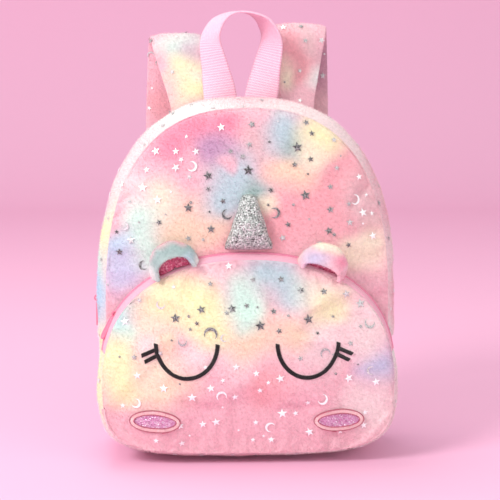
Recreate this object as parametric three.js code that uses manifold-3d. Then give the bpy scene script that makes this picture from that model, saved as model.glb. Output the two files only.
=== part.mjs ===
// A small child's plush backpack with a sleeping animal face on its front pocket.
// Millimetres. The bag's front looks along -Y, +X is on the right seen from the front,
// +Z is up, and the bag stands on z = 0 with its middle on x = 0.
import * as THREE from 'three';
import { mergeVertices } from 'three/addons/utils/BufferGeometryUtils.js';
import Module from 'manifold-3d';

const manifold = await Module();
manifold.setup();

// Clearance and cloth
const GAP = 0.3;
const PLUSH = 3;
const TAPE = 1.4;
const WEBBING = 1.6;
const WEBBING_WIDTH = 26;
const STITCH_RISE = 0.9;

// Main compartment: an arched bag with a flat bottom, seam to seam
const BODY_WIDTH = 230;
const BODY_HEIGHT = 276;
const BODY_WIDEST = 118;
const BODY_DEPTH = 70;
const BODY_ARCH_POWER = 2.5;
const BODY_FOOT_POWER = 5.5;
const SEAM_INSET = 7;
const FRONT_DOME = 9;
const BACK_DOME = 2;
const GUSSET_PUFF = 5.5;
const BACK_STRIP_PUFF = 3;
const BOTTOM_PUFF = 8.5;

// Main zip, set in the gusset behind its puffed front strip
const MAIN_ZIP_BEHIND_MIDDLE = 8;
const MAIN_ZIP_WIDTH = 11;
const MAIN_ZIP_SUNK = 3;
const MAIN_ZIP_FOOT = 92;
const TEETH_RISE = 1.1;
const TEETH_WIDTH = 4;

// Front pocket: its own arch, full at the bottom and shallow under the zip
const POCKET_HEIGHT = 161.5;
const POCKET_WIDEST = 73;
const POCKET_SIDE_INSET = 1;
const POCKET_ARCH_POWER = 2.2;
const POCKET_FOOT_POWER = 4.6;
const POCKET_DEPTH = 33;
const POCKET_RIM_DEPTH_TOP = 20;
const POCKET_RIM_DEPTH_BOTTOM = 25;
const POCKET_RIM_DROP = 5;
const POCKET_PUFF = 11;
const POCKET_ZIP_ARCH = 1;
const POCKET_ZIP_FOOT = 86;
const POCKET_TEETH_RISE = 0.8;

// Zip sliders and pulls
const SLIDER_WIDTH = 7;
const SLIDER_LENGTH = 9;
const SLIDER_THICK = 2;
const BAIL_BAR = 1.1;
const BAIL_WIDTH = 1.5;
const PULL_WIDTH = 8;
const PULL_LENGTH = 22;
const PULL_THICK = 1.3;
const PULL_EYE_WIDTH = 3.6;
const MAIN_SLIDER_HEIGHT = 118;
const POCKET_SLIDER_HEIGHT = 113;

// Horn, stuffed and sewn in at the middle of the pocket zip
const HORN_X = 0.3;
const HORN_WIDTH = 36;
const HORN_THICK = 20;
const HORN_HEIGHT = 42;

// Ears, sewn in at the pocket zip and cupped forwards
const EAR_WIDTH = 38;
const EAR_HEIGHT = 21;
const EAR_DEPTH = 17;
const EAR_WALL = 3;
const EAR_LINING = 1;
const EAR_BACK_ANGLE = 20;
const EAR_RIM_ANGLE = 128;
const EAR_LINING_ANGLE = 62;
const EAR_FROM_MIDDLE = 56;
const LEFT_EAR_NOD = 20;
const RIGHT_EAR_NOD = 28;

// Face on the pocket: closed eyes with two lashes each, and two cheeks
const FACE_X = -1.5;
const EYE_FROM_MIDDLE = 43.5;
const EYE_HEIGHT = 94;
const EYE_WIDTH = 46;
const EYE_DROP = 26;
const EYE_LINE = 2.6;
const LASH_LENGTH = 12.5;
const CHEEK_FROM_MIDDLE = 69.5;
const CHEEK_HEIGHT = 35;
const CHEEK_WIDTH = 38;
const CHEEK_TALL = 17;
const CHEEK_BAND = 3.2;

// Carrying handle of webbing, its two ends side by side at the top seam
const HANDLE_X = -2;
const HANDLE_RISE = 65;
const HANDLE_BULGE = 6;
const HANDLE_TAIL = 14;
const HANDLE_LEG_GAP = 4;

// Shoulder straps: padded plush arms that stand up behind the bag
const STRAP_WIDTH = 46;
const STRAP_THICK = 8;
const STRAPS_X = -3;
const LEFT_STRAP_RISE = 48;
const RIGHT_STRAP_RISE = 56;
const STRAP_REACH = 42;
const STRAP_TOP_X = 33;
const STRAP_CREST_X = 48;
const STRAP_END_X = 56;
const STRAP_TAIL = 45;
const STRAP_PAD_END = 112;

// Lower straps: webbing, slide and the corner tabs that hold them
const TAB_INSET = 35;
const TAB_HEIGHT = 30;
const TAB_SIZE = 36;
const SLIDE_WIDTH = 32;
const SLIDE_HEIGHT = 20;
const SLIDE_THICK = 2.6;
const SLIDE_PLACE = 0.45;
const TAB_X = BODY_WIDTH / 2 - TAB_INSET;

// Colours and finishes
const finish = (color, roughness, metalness = 0) => (
  new THREE.MeshStandardMaterial({ color, roughness, metalness })
);
const pinkPlush = finish(0xf6b9cf, 0.95);
const creamPlush = finish(0xf7e3cf, 0.95);
const bluePlush = finish(0xcfe3f2, 0.95);
const pinkTape = finish(0xf0a6c0, 0.8);
const pinkWebbing = finish(0xf7b3cb, 0.75);
const coralEnamel = finish(0xe8788f, 0.35, 0.4);
const silverGlitter = finish(0xb9b8be, 0.35, 0.8);
const crimsonGlitter = finish(0xc04a78, 0.4, 0.5);
const lilacGlitter = finish(0xd9a0c8, 0.4, 0.4);
const pinkSatin = finish(0xe98fb0, 0.5);
const blackSatin = finish(0x1d1a1c, 0.45);
const pinkPlastic = finish(0xf2a9c2, 0.45);

const bag = new THREE.Group();

function add(name, geometry, material) {
  const mesh = new THREE.Mesh(geometry, material);
  mesh.name = name;
  bag.add(mesh);
  return mesh;
}

// Joins a geometry's shared corners and turns its faces outwards
function closed(geometry) {
  geometry.deleteAttribute('normal');
  geometry.deleteAttribute('uv');
  const joined = mergeVertices(geometry, 1e-4);
  const index = joined.getIndex();
  const a = new THREE.Vector3();
  const b = new THREE.Vector3();
  const c = new THREE.Vector3();
  const corners = joined.getAttribute('position');
  let volume = 0;
  for (let i = 0; i < index.count; i += 3) {
    a.fromBufferAttribute(corners, index.getX(i));
    b.fromBufferAttribute(corners, index.getX(i + 1));
    c.fromBufferAttribute(corners, index.getX(i + 2));
    volume += a.dot(b.cross(c));
  }
  if (volume < 0) {
    for (let i = 0; i < index.count; i += 3) {
      const first = index.getX(i);
      index.setX(i, index.getX(i + 1));
      index.setX(i + 1, first);
    }
  }
  joined.computeVertexNormals();
  return joined;
}

// A closed sheet: a box whose points are carried to place(u, v, w), each from 0 to 1,
// with u along the sheet, v across it and w through its thickness
function sheet(along, across, place) {
  const box = new THREE.BoxGeometry(1, 1, 1, along, across, 1);
  const corners = box.getAttribute('position');
  for (let i = 0; i < corners.count; i += 1) {
    const spot = place(corners.getX(i) + 0.5, corners.getY(i) + 0.5, corners.getZ(i) + 0.5);
    corners.setXYZ(i, spot.x, spot.y, spot.z);
  }
  return closed(box);
}

// Two or more closed geometries joined into one solid
function joined(geometries) {
  const solids = geometries.map((geometry) => new manifold.Manifold(new manifold.Mesh({
    numProp: 3,
    vertProperties: Float32Array.from(geometry.getAttribute('position').array),
    triVerts: Uint32Array.from(geometry.getIndex().array),
  })));
  const whole = solids.slice(1).reduce((sum, solid) => sum.add(solid), solids[0]).getMesh();
  const geometry = new THREE.BufferGeometry();
  geometry.setAttribute('position', new THREE.BufferAttribute(whole.vertProperties, 3));
  geometry.setIndex(new THREE.BufferAttribute(whole.triVerts, 1));
  geometry.computeVertexNormals();
  return geometry;
}

const mix = THREE.MathUtils.lerp;
const radians = THREE.MathUtils.degToRad;

// Reads a table's column at a share, straight between its rows
function readTable(rows, key, share, column) {
  const last = rows.length - 1;
  let row = 0;
  while (row < last - 1 && rows[row + 1][key] < share) {
    row += 1;
  }
  const from = rows[row];
  const to = rows[row + 1];
  const part = THREE.MathUtils.clamp((share - from[key]) / (to[key] - from[key]), 0, 1);
  return mix(from[column], to[column], part);
}

// Outlines: an arch above the widest height and a squarer foot below it
const bodyOutline = {
  halfWidth: BODY_WIDTH / 2,
  middle: BODY_WIDEST,
  above: BODY_HEIGHT - BODY_WIDEST,
  below: BODY_WIDEST,
  archPower: BODY_ARCH_POWER,
  footPower: BODY_FOOT_POWER,
};

function inset(outline, by) {
  return {
    ...outline,
    halfWidth: outline.halfWidth - by,
    above: outline.above - by,
    below: outline.below - by,
  };
}

const panelOutline = inset(bodyOutline, SEAM_INSET);

const pocketOutline = {
  halfWidth: panelOutline.halfWidth - POCKET_SIDE_INSET,
  middle: POCKET_WIDEST,
  above: POCKET_HEIGHT - POCKET_WIDEST,
  below: POCKET_WIDEST - SEAM_INSET - POCKET_SIDE_INSET,
  archPower: POCKET_ARCH_POWER,
  footPower: POCKET_FOOT_POWER,
};

const pocketRim = inset(pocketOutline, POCKET_RIM_DROP);

function radiusAt(outline, angle) {
  const up = Math.sin(angle);
  const power = up >= 0 ? outline.archPower : outline.footPower;
  const tall = up >= 0 ? outline.above : outline.below;
  const wideShare = Math.abs(Math.cos(angle) / outline.halfWidth) ** power;
  const tallShare = Math.abs(up / tall) ** power;
  return (wideShare + tallShare) ** (-1 / power);
}

function onOutline(outline, angle, share = 1) {
  const radius = radiusAt(outline, angle) * share;
  return { x: Math.cos(angle) * radius, z: outline.middle + Math.sin(angle) * radius };
}

// Where a point of the front lies inside an outline: its share of the way out, and its angle
function within(outline, x, z) {
  const angle = Math.atan2(z - outline.middle, x);
  const share = Math.hypot(x, z - outline.middle) / radiusAt(outline, angle);
  return { angle, share: Math.min(share, 1) };
}

// The angle, on the left side, at which an outline passes a height
function leftAngleAt(outline, height) {
  let low = Math.PI / 2;
  let high = Math.PI * 1.5;
  for (let i = 0; i < 40; i += 1) {
    const middle = (low + high) / 2;
    if (onOutline(outline, middle).z > height) {
      low = middle;
    } else {
      high = middle;
    }
  }
  return low;
}

// The angle at which the arch of an outline stands over a place along its width
function archAngleAt(outline, x) {
  let low = 0;
  let high = Math.PI;
  for (let i = 0; i < 40; i += 1) {
    const middle = (low + high) / 2;
    if (onOutline(outline, middle).x > x) {
      low = middle;
    } else {
      high = middle;
    }
  }
  return low;
}

// Panels: domed sheets whose rows are rings, closer together towards the rim
const DOME_POWER = 4;
const POCKET_DOME_POWER = 3;

function panel(outline, segments, faceAt, wall) {
  return sheet(segments, segments, (u, v, w) => {
    const right = 2 * u - 1;
    const up = 2 * v - 1;
    const ring = Math.sin(Math.max(Math.abs(right), Math.abs(up)) * Math.PI / 2);
    const angle = Math.atan2(up, right);
    const { x, z } = onOutline(outline, angle, ring);
    return { x, y: faceAt(ring, angle) + w * wall, z };
  });
}

const frontSeam = -BODY_DEPTH / 2;
const backSeam = BODY_DEPTH / 2;
const frontFace = (share) => frontSeam - FRONT_DOME * (1 - share ** DOME_POWER);
const backFace = (share) => backSeam + BACK_DOME * (1 - share ** DOME_POWER);
const frontAt = (x, z) => frontFace(within(panelOutline, x, z).share);
const backAt = (x, z) => backFace(within(panelOutline, x, z).share);

add('main_front_panel', panel(panelOutline, 14, frontFace, PLUSH), pinkPlush);
add('back_panel', panel(panelOutline, 10, backFace, -PLUSH), pinkPlush);

// Gusset: strips that run round the body's outline between the two panels
const zipFront = MAIN_ZIP_BEHIND_MIDDLE - MAIN_ZIP_WIDTH / 2;
const zipBack = MAIN_ZIP_BEHIND_MIDDLE + MAIN_ZIP_WIDTH / 2;
const gussetFront = frontSeam + PLUSH + GAP;
const gussetBack = backSeam - PLUSH - GAP;
const endGap = GAP / bodyOutline.halfWidth;
const ARCH_STEPS = 36;

function gussetStrip(along, across, from, to, wall, section) {
  return sheet(along, across, (u, v, w) => {
    const angle = mix(from, to, u);
    const { y, sunk } = section(v, w);
    const { x, z } = onOutline(inset(bodyOutline, sunk + w * wall), angle);
    return { x, y, z: Math.max(z, w * wall) };
  });
}

const archEnd = leftAngleAt(bodyOutline, MAIN_ZIP_FOOT);
const archStart = Math.PI - archEnd;

add('gusset_front_strip', gussetStrip(ARCH_STEPS, 4, archStart, archEnd, PLUSH, (v) => ({
  y: mix(gussetFront, zipFront - GAP, v),
  sunk: mix(SEAM_INSET, MAIN_ZIP_SUNK, v) - GUSSET_PUFF * Math.sin(Math.PI * v),
})), creamPlush);

add('gusset_back_strip', gussetStrip(ARCH_STEPS, 3, archStart, archEnd, PLUSH, (v) => ({
  y: mix(zipBack + GAP, gussetBack, v),
  sunk: mix(MAIN_ZIP_SUNK, SEAM_INSET, v) - BACK_STRIP_PUFF * Math.sin(Math.PI * v),
})), bluePlush);

add('bottom_gusset', gussetStrip(28, 6, archEnd + endGap, 2 * Math.PI + archStart - endGap, PLUSH, (v) => ({
  y: mix(gussetFront, gussetBack, v),
  sunk: SEAM_INSET - BOTTOM_PUFF * Math.sin(Math.PI * v) ** 0.5,
})), pinkPlush);

// Zips: a tape with a low ridge of teeth along its middle
const zipRows = (tape, teeth, middle) => [
  { v: 0, across: 0, rise: 0 },
  { v: 0.25, across: middle - teeth / tape / 2, rise: 0.2 },
  { v: 0.5, across: middle, rise: 1 },
  { v: 0.75, across: middle + teeth / tape / 2, rise: 0.2 },
  { v: 1, across: 1, rise: 0 },
];

const mainZipRows = zipRows(MAIN_ZIP_WIDTH, TEETH_WIDTH, 0.5);

add('main_zip', gussetStrip(ARCH_STEPS, 4, archStart, archEnd, TAPE, (v, w) => {
  const across = readTable(mainZipRows, 'v', v, 'across');
  const rise = w ? 0 : TEETH_RISE * readTable(mainZipRows, 'v', v, 'rise');
  return { y: mix(zipFront, zipBack, across), sunk: MAIN_ZIP_SUNK - rise };
}), pinkTape);

// Pocket: its front panel stands off the main panel on a gusset of zip and plush
const rimDepth = (angle) => (
  mix(POCKET_RIM_DEPTH_BOTTOM, POCKET_RIM_DEPTH_TOP, (1 + Math.sin(angle)) / 2)
);
const pocketFace = (share, angle) => {
  const full = frontSeam - POCKET_DEPTH;
  const rim = frontSeam - rimDepth(angle);
  return mix(full, rim, share ** POCKET_DOME_POWER);
};
const pocketAt = (x, z) => {
  const { share, angle } = within(pocketRim, x, z);
  return pocketFace(share, angle);
};

add('pocket_front_panel', panel(pocketRim, 18, pocketFace, PLUSH), creamPlush);

// A point of the pocket's gusset: s runs from the main panel to the pocket's rim
function pocketSide(angle, s, puff, sunk) {
  const radius = mix(radiusAt(pocketOutline, angle), radiusAt(pocketRim, angle), s);
  const out = radius + puff * Math.sin(Math.PI * s) - sunk;
  const x = Math.cos(angle) * out;
  const z = Math.max(pocketOutline.middle + Math.sin(angle) * out, Math.max(sunk, 0));
  const behind = frontAt(x, z) - GAP * 1.5;
  const ahead = frontSeam - rimDepth(angle) + PLUSH + GAP;
  return { x, y: mix(behind, ahead, s), z };
}

const pocketEndGap = GAP / pocketOutline.halfWidth;
const pocketEnd = leftAngleAt(pocketOutline, POCKET_ZIP_FOOT);
const pocketStart = Math.PI - pocketEnd;

add('pocket_gusset', sheet(30, 5, (u, v, w) => {
  const angle = mix(pocketEnd + pocketEndGap, 2 * Math.PI + pocketStart - pocketEndGap, u);
  return pocketSide(angle, v, POCKET_PUFF, w * PLUSH);
}), creamPlush);

const POCKET_TEETH_PLACE = 0.34;
const pocketZipRows = zipRows(MAIN_ZIP_WIDTH, TEETH_WIDTH, POCKET_TEETH_PLACE);

const pocketZipPoint = (angle, v, w) => {
  const s = readTable(pocketZipRows, 'v', v, 'across');
  const rise = w ? 0 : POCKET_TEETH_RISE * readTable(pocketZipRows, 'v', v, 'rise');
  return pocketSide(angle, s, POCKET_ZIP_ARCH, w * TAPE - rise);
};

add('pocket_zip', sheet(ARCH_STEPS, 4, (u, v, w) => (
  pocketZipPoint(mix(pocketStart, pocketEnd, u), v, w)
)), pinkTape);

// Zip slider: a plate over the teeth with a bail that the pull's end bar turns in
const bailRadius = PULL_THICK / 2 + GAP + BAIL_BAR / 2 + 0.4;
const hingeRise = SLIDER_THICK + PULL_THICK / 2 + GAP * 2;

function sliderGeometry() {
  const plate = sheet(2, 4, (u, v, w) => {
    const end = Math.abs(2 * v - 1);
    const half = SLIDER_WIDTH / 2 * (1 - 0.25 * end * end);
    return { x: mix(-half, half, u), y: mix(-SLIDER_LENGTH / 2, SLIDER_LENGTH / 2, v), z: w * SLIDER_THICK };
  });
  const bail = sheet(10, 1, (u, v, w) => {
    const turn = mix(radians(-35), radians(215), u);
    const radius = bailRadius + (w - 0.5) * BAIL_BAR;
    return {
      x: (v - 0.5) * BAIL_WIDTH,
      y: radius * Math.cos(turn),
      z: hingeRise + radius * Math.sin(turn),
    };
  });
  return joined([plate, bail]);
}

// Zip pull: a flat rounded tab whose eye goes round the bail, its end bar on the hinge axis
function pullGeometry() {
  const bar = PULL_THICK / 2 + 0.1;
  const half = PULL_WIDTH / 2;
  const eyeEnd = -(bailRadius + BAIL_BAR / 2 + 2 * GAP + 1);
  const outline = new THREE.Shape();
  outline.moveTo(-half * 0.7, bar);
  outline.lineTo(half * 0.7, bar);
  outline.lineTo(half * 0.7, eyeEnd * 0.7);
  outline.lineTo(half, eyeEnd * 1.6);
  outline.lineTo(half, -PULL_LENGTH + half);
  outline.absarc(0, -PULL_LENGTH + half, half, 0, -Math.PI, true);
  outline.lineTo(-half, eyeEnd * 1.6);
  outline.lineTo(-half * 0.7, eyeEnd * 0.7);
  const eye = new THREE.Path();
  eye.moveTo(-PULL_EYE_WIDTH / 2, -bar);
  eye.lineTo(-PULL_EYE_WIDTH / 2, eyeEnd);
  eye.lineTo(PULL_EYE_WIDTH / 2, eyeEnd);
  eye.lineTo(PULL_EYE_WIDTH / 2, -bar);
  outline.holes.push(eye);
  const tab = new THREE.ExtrudeGeometry(outline, {
    depth: PULL_THICK,
    bevelEnabled: false,
    curveSegments: 6,
  });
  tab.translate(0, 0, -PULL_THICK / 2);
  return closed(tab);
}

// Sets a slider and its pull on a zip: pointAt gives the teeth's crest at an angle,
// and the pull lies along the zip, pointing down
function addSlider(name, pointAt, acrossAt, angle) {
  const step = 0.01;
  const here = pointAt(angle);
  const along = pointAt(angle - step).sub(pointAt(angle + step)).normalize();
  const across = acrossAt(angle);
  const out = new THREE.Vector3().crossVectors(across, along).normalize();
  across.crossVectors(along, out).normalize();
  const turn = new THREE.Quaternion().setFromRotationMatrix(
    new THREE.Matrix4().makeBasis(across, along, out),
  );
  const slider = add(`${name}_slider`, sliderGeometry(), coralEnamel);
  slider.position.copy(here).addScaledVector(out, GAP);
  slider.quaternion.copy(turn);
  const pull = add(`${name}_pull`, pullGeometry(), coralEnamel);
  pull.position.copy(here).addScaledVector(out, GAP + hingeRise);
  pull.quaternion.copy(turn);
}

const vector = ({ x, y, z }) => new THREE.Vector3(x, y, z);

const mainTeeth = (angle) => {
  const { x, z } = onOutline(inset(bodyOutline, MAIN_ZIP_SUNK - TEETH_RISE), angle);
  return new THREE.Vector3(x, MAIN_ZIP_BEHIND_MIDDLE, z);
};
const mainAcross = () => new THREE.Vector3(0, -1, 0);
addSlider('main_zip', mainTeeth, mainAcross, leftAngleAt(bodyOutline, MAIN_SLIDER_HEIGHT));

const pocketTeeth = (angle) => vector(pocketZipPoint(angle, 0.5, 0));
const pocketAcross = (angle) => (
  vector(pocketZipPoint(angle, 1, 0)).sub(vector(pocketZipPoint(angle, 0, 0)))
);
addSlider('pocket_zip', pocketTeeth, pocketAcross, leftAngleAt(pocketOutline, POCKET_SLIDER_HEIGHT));

// Horn: a stuffed cone, flat where it is sewn in and rounded at its tip
const hornRows = [
  { up: 0, wide: 1, thick: 0.3 },
  { up: 0.1, wide: 0.97, thick: 0.66 },
  { up: 0.28, wide: 0.83, thick: 0.86 },
  { up: 0.5, wide: 0.66, thick: 0.86 },
  { up: 0.75, wide: 0.47, thick: 0.68 },
  { up: 0.93, wide: 0.32, thick: 0.52 },
  { up: 0.985, wide: 0.2, thick: 0.34 },
  { up: 1, wide: 0.04, thick: 0.05 },
];

function hornGeometry() {
  const profile = hornRows.map((row) => new THREE.Vector2(1, row.up));
  profile.unshift(new THREE.Vector2(0, 0));
  profile.push(new THREE.Vector2(0, 1));
  const horn = new THREE.LatheGeometry(profile, 16);
  const corners = horn.getAttribute('position');
  const foot = POCKET_HEIGHT + POCKET_ZIP_ARCH + POCKET_TEETH_RISE + GAP;
  for (let i = 0; i < corners.count; i += 1) {
    const up = corners.getY(i);
    const wide = HORN_WIDTH / 2 * readTable(hornRows, 'up', up, 'wide');
    const thick = HORN_THICK / 2 * readTable(hornRows, 'up', up, 'thick');
    const z = foot + up * HORN_HEIGHT;
    const x = HORN_X + corners.getX(i) * wide;
    corners.setXYZ(i, x, frontAt(HORN_X, z) - GAP - thick * (1 + corners.getZ(i)), z);
  }
  return closed(horn);
}

add('horn', hornGeometry(), silverGlitter);

// Ears: a cupped shell of plush, open to the front, with a glitter lining inside it
const earDepthAt = (turn) => {
  const start = Math.cos(radians(EAR_BACK_ANGLE));
  return EAR_DEPTH * (start - Math.cos(turn)) / (start - Math.cos(radians(EAR_RIM_ANGLE)));
};

function earPoint(side, turn, sunk) {
  const wide = EAR_WIDTH / 2 - sunk;
  const tall = EAR_HEIGHT - sunk;
  return {
    x: wide * Math.sin(turn) * Math.sin(side),
    y: -earDepthAt(turn) + sunk * Math.cos(turn) * -1,
    z: tall * Math.sin(turn) * Math.cos(side),
  };
}

function earShell() {
  return sheet(12, 6, (u, v, w) => {
    const side = mix(-Math.PI / 2, Math.PI / 2, u);
    const turn = mix(radians(EAR_BACK_ANGLE), radians(EAR_RIM_ANGLE), v);
    return earPoint(side, turn, w * EAR_WALL);
  });
}

function earLining() {
  const turn = radians(EAR_LINING_ANGLE);
  const sunk = EAR_WALL + GAP;
  return sheet(10, 3, (u, v, w) => {
    const side = mix(-Math.PI / 2, Math.PI / 2, u);
    const edge = earPoint(side, turn, sunk);
    const share = mix(0.06, 1, v);
    return { x: edge.x * share, y: edge.y - 1 + w * EAR_LINING, z: edge.z * share };
  });
}

function addEar(name, middle, nod) {
  const angle = archAngleAt(pocketOutline, middle);
  const step = 0.02;
  const here = onOutline(pocketOutline, angle);
  const before = onOutline(pocketOutline, angle + step);
  const after = onOutline(pocketOutline, angle - step);
  const slope = Math.atan2(after.z - before.z, after.x - before.x);
  const seat = new THREE.Group();
  seat.position.set(here.x, frontAt(here.x, here.z) - 2 * GAP, here.z);
  seat.rotation.set(0, -slope, 0);
  const tilt = new THREE.Group();
  tilt.position.set(0, 0, POCKET_ZIP_ARCH + POCKET_TEETH_RISE + GAP);
  tilt.rotation.set(radians(nod), 0, 0);
  seat.add(tilt);
  const shell = new THREE.Mesh(earShell(), pinkPlush);
  shell.name = `${name}_ear`;
  const lining = new THREE.Mesh(earLining(), crimsonGlitter);
  lining.name = `${name}_ear_lining`;
  tilt.add(shell, lining);
  bag.add(seat);
}

addEar('left', -EAR_FROM_MIDDLE, LEFT_EAR_NOD);
addEar('right', EAR_FROM_MIDDLE, RIGHT_EAR_NOD);

// Face: raised satin lines and patches that follow the pocket's surface
function onPocket(x, z, rise) {
  return { x, y: pocketAt(x, z) - GAP - rise, z };
}

function stitchedLine(segments, pathAt) {
  return sheet(segments, 1, (u, v, w) => {
    const step = 0.01;
    const here = pathAt(u);
    const ahead = pathAt(u + step);
    const length = Math.hypot(ahead.x - here.x, ahead.z - here.z);
    const side = (v - 0.5) * EYE_LINE;
    const x = here.x - side * (ahead.z - here.z) / length;
    const z = here.z + side * (ahead.x - here.x) / length;
    return onPocket(x, z, w * STITCH_RISE);
  });
}

const lashRows = [
  { down: 0.24, angle: 21, long: 1 },
  { down: 0.4, angle: 28, long: 0.9 },
];

function eye(side) {
  const middle = FACE_X + side * EYE_FROM_MIDDLE;
  const arc = stitchedLine(18, (u) => {
    const turn = mix(Math.PI, 2 * Math.PI, u);
    return {
      x: middle + EYE_WIDTH / 2 * Math.cos(turn) * side,
      z: EYE_HEIGHT + EYE_DROP * Math.sin(turn),
    };
  });
  const lashes = lashRows.map((row) => {
    const turn = Math.asin(row.down);
    const start = {
      x: middle + side * EYE_WIDTH / 2 * Math.cos(turn),
      z: EYE_HEIGHT - EYE_DROP * Math.sin(turn),
    };
    const lean = radians(row.angle);
    const long = LASH_LENGTH * row.long;
    return stitchedLine(2, (u) => ({
      x: start.x + side * u * long * Math.cos(lean),
      z: start.z - u * long * Math.sin(lean),
    }));
  });
  return joined([arc, ...lashes]);
}

function cheekPatch(side) {
  const wide = CHEEK_WIDTH / 2 - CHEEK_BAND - GAP;
  const tall = CHEEK_TALL / 2 - CHEEK_BAND - GAP;
  return sheet(6, 6, (u, v, w) => {
    const right = 2 * u - 1;
    const up = 2 * v - 1;
    const share = Math.max(Math.abs(right), Math.abs(up));
    const angle = Math.atan2(up, right);
    const x = FACE_X + side * CHEEK_FROM_MIDDLE + wide * share * Math.cos(angle);
    return onPocket(x, CHEEK_HEIGHT + tall * share * Math.sin(angle), w * STITCH_RISE);
  });
}

function cheekBand(side) {
  const band = new THREE.TorusGeometry(2, 1, 4, 28);
  const corners = band.getAttribute('position');
  for (let i = 0; i < corners.count; i += 1) {
    const angle = Math.atan2(corners.getY(i), corners.getX(i));
    const across = (Math.hypot(corners.getX(i), corners.getY(i)) - 2) * CHEEK_BAND / 2;
    const wide = CHEEK_WIDTH / 2 - CHEEK_BAND / 2 + across;
    const tall = CHEEK_TALL / 2 - CHEEK_BAND / 2 + across;
    const x = FACE_X + side * CHEEK_FROM_MIDDLE + wide * Math.cos(angle);
    const z = CHEEK_HEIGHT + tall * Math.sin(angle);
    const rise = STITCH_RISE * (1 + corners.getZ(i)) / 2;
    const spot = onPocket(x, z, rise);
    corners.setXYZ(i, spot.x, spot.y, spot.z);
  }
  return closed(band);
}

for (const [name, side] of [['left', -1], ['right', 1]]) {
  add(`${name}_eye`, eye(side), blackSatin);
  add(`${name}_cheek_patch`, cheekPatch(side), lilacGlitter);
  add(`${name}_cheek_band`, cheekBand(side), pinkSatin);
}

// A ribbon along a curve: widthAlong gives the direction its width lies in
function ribbon(along, across, curve, width, thickAt, widthAlong) {
  return sheet(along, across, (u, v, w) => {
    const here = curve.getPoint(u);
    const tangent = curve.getTangent(u);
    const side = widthAlong(here, tangent);
    side.addScaledVector(tangent, -side.dot(tangent)).normalize();
    const face = new THREE.Vector3().crossVectors(tangent, side);
    here.addScaledVector(side, (v - 0.5) * width);
    here.addScaledVector(face, (w - 0.5) * thickAt(v));
    return here;
  });
}

// Handle: rises flat from the seam, turns a quarter on each leg and arches over
const handleLeg = [
  { up: 0, out: 0 },
  { up: 0.2, out: 0.05 },
  { up: 0.46, out: 0.5 },
];
const handleTurns = [
  { up: 0, turn: 1 },
  { up: 0.2, turn: 0.97 },
  { up: 0.45, turn: 0.6 },
  { up: 0.72, turn: 0.4 },
  { up: 0.9, turn: 0.22 },
  { up: 1, turn: 0 },
];
const HANDLE_SPRING = 0.72;
const HANDLE_ARCH_STEPS = 8;

function handleGeometry() {
  const legX = (WEBBING_WIDTH + HANDLE_LEG_GAP) / 2;
  const footZ = BODY_HEIGHT - SEAM_INSET - HANDLE_TAIL;
  const tall = HANDLE_RISE + BODY_HEIGHT - footZ;
  const legY = backSeam + BACK_DOME + GAP + WEBBING / 2;
  const spot = (x, up) => new THREE.Vector3(HANDLE_X + x, legY, footZ + tall * up);
  const left = handleLeg.map((row) => spot(-legX - HANDLE_BULGE * row.out, row.up));
  const right = handleLeg.map((row) => spot(legX + HANDLE_BULGE * row.out, row.up)).reverse();
  const arch = [];
  for (let i = 0; i <= HANDLE_ARCH_STEPS; i += 1) {
    const turn = Math.PI * (1 - i / HANDLE_ARCH_STEPS);
    const up = HANDLE_SPRING + (1 - HANDLE_SPRING) * Math.sin(turn);
    arch.push(spot((legX + HANDLE_BULGE) * Math.cos(turn), up));
  }
  const curve = new THREE.CatmullRomCurve3([...left, ...arch, ...right], false, 'centripetal');
  return ribbon(36, 1, curve, WEBBING_WIDTH, () => WEBBING, (here, tangent) => {
    const up = (here.z - footZ) / tall;
    const turn = readTable(handleTurns, 'up', up, 'turn') * Math.PI / 2;
    const level = new THREE.Vector3(0, 1, 0);
    return level.applyAxisAngle(tangent, here.x < HANDLE_X ? turn : -turn);
  });
}

add('handle', handleGeometry(), pinkWebbing);

// Shoulder straps: each pad rises from the back, folds over and comes down behind
const strapRows = [
  { up: 0, back: 0, out: 0 },
  { up: 0.16, back: 0.01, out: 0 },
  { up: 0.45, back: 0.13, out: 0.1 },
  { up: 0.78, back: 0.33, out: 0.6 },
  { up: 0.95, back: 0.44, out: 0.9 },
  { up: 1, back: 0.64, out: 1 },
  { up: 0.93, back: 0.85, out: 1.1 },
  { up: 0.62, back: 0.97, out: 1.2 },
  { up: 0.1, back: 1, out: 1.3 },
];

function strapCurve(side) {
  const foot = BODY_HEIGHT - SEAM_INSET - STRAP_TAIL;
  const rise = side < 0 ? LEFT_STRAP_RISE : RIGHT_STRAP_RISE;
  const tall = BODY_HEIGHT + rise - STRAP_THICK / 2 - foot;
  const seat = backSeam + BACK_DOME + GAP + STRAP_THICK / 2;
  const spots = strapRows.map((row) => new THREE.Vector3(
    STRAPS_X * Math.min(row.out, 1) + side * mix(STRAP_TOP_X, STRAP_CREST_X, row.out),
    seat + STRAP_REACH * row.back,
    foot + tall * row.up,
  ));
  spots.push(new THREE.Vector3(
    side * STRAP_END_X,
    seat + STRAP_REACH * 0.82,
    STRAP_PAD_END,
  ));
  return new THREE.CatmullRomCurve3(spots, false, 'centripetal');
}

const acrossX = () => new THREE.Vector3(1, 0, 0);
const padThick = (v) => STRAP_THICK * (1 - 0.75 * Math.abs(2 * v - 1) ** 3);

// Corner tabs lie flat on the back panel's dome and carry the lower straps
const tabInnerX = TAB_X - TAB_SIZE / 2;
const tabTop = TAB_HEIGHT + TAB_SIZE / 2.6;
const tabFace = backAt(tabInnerX, tabTop) + GAP;

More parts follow.
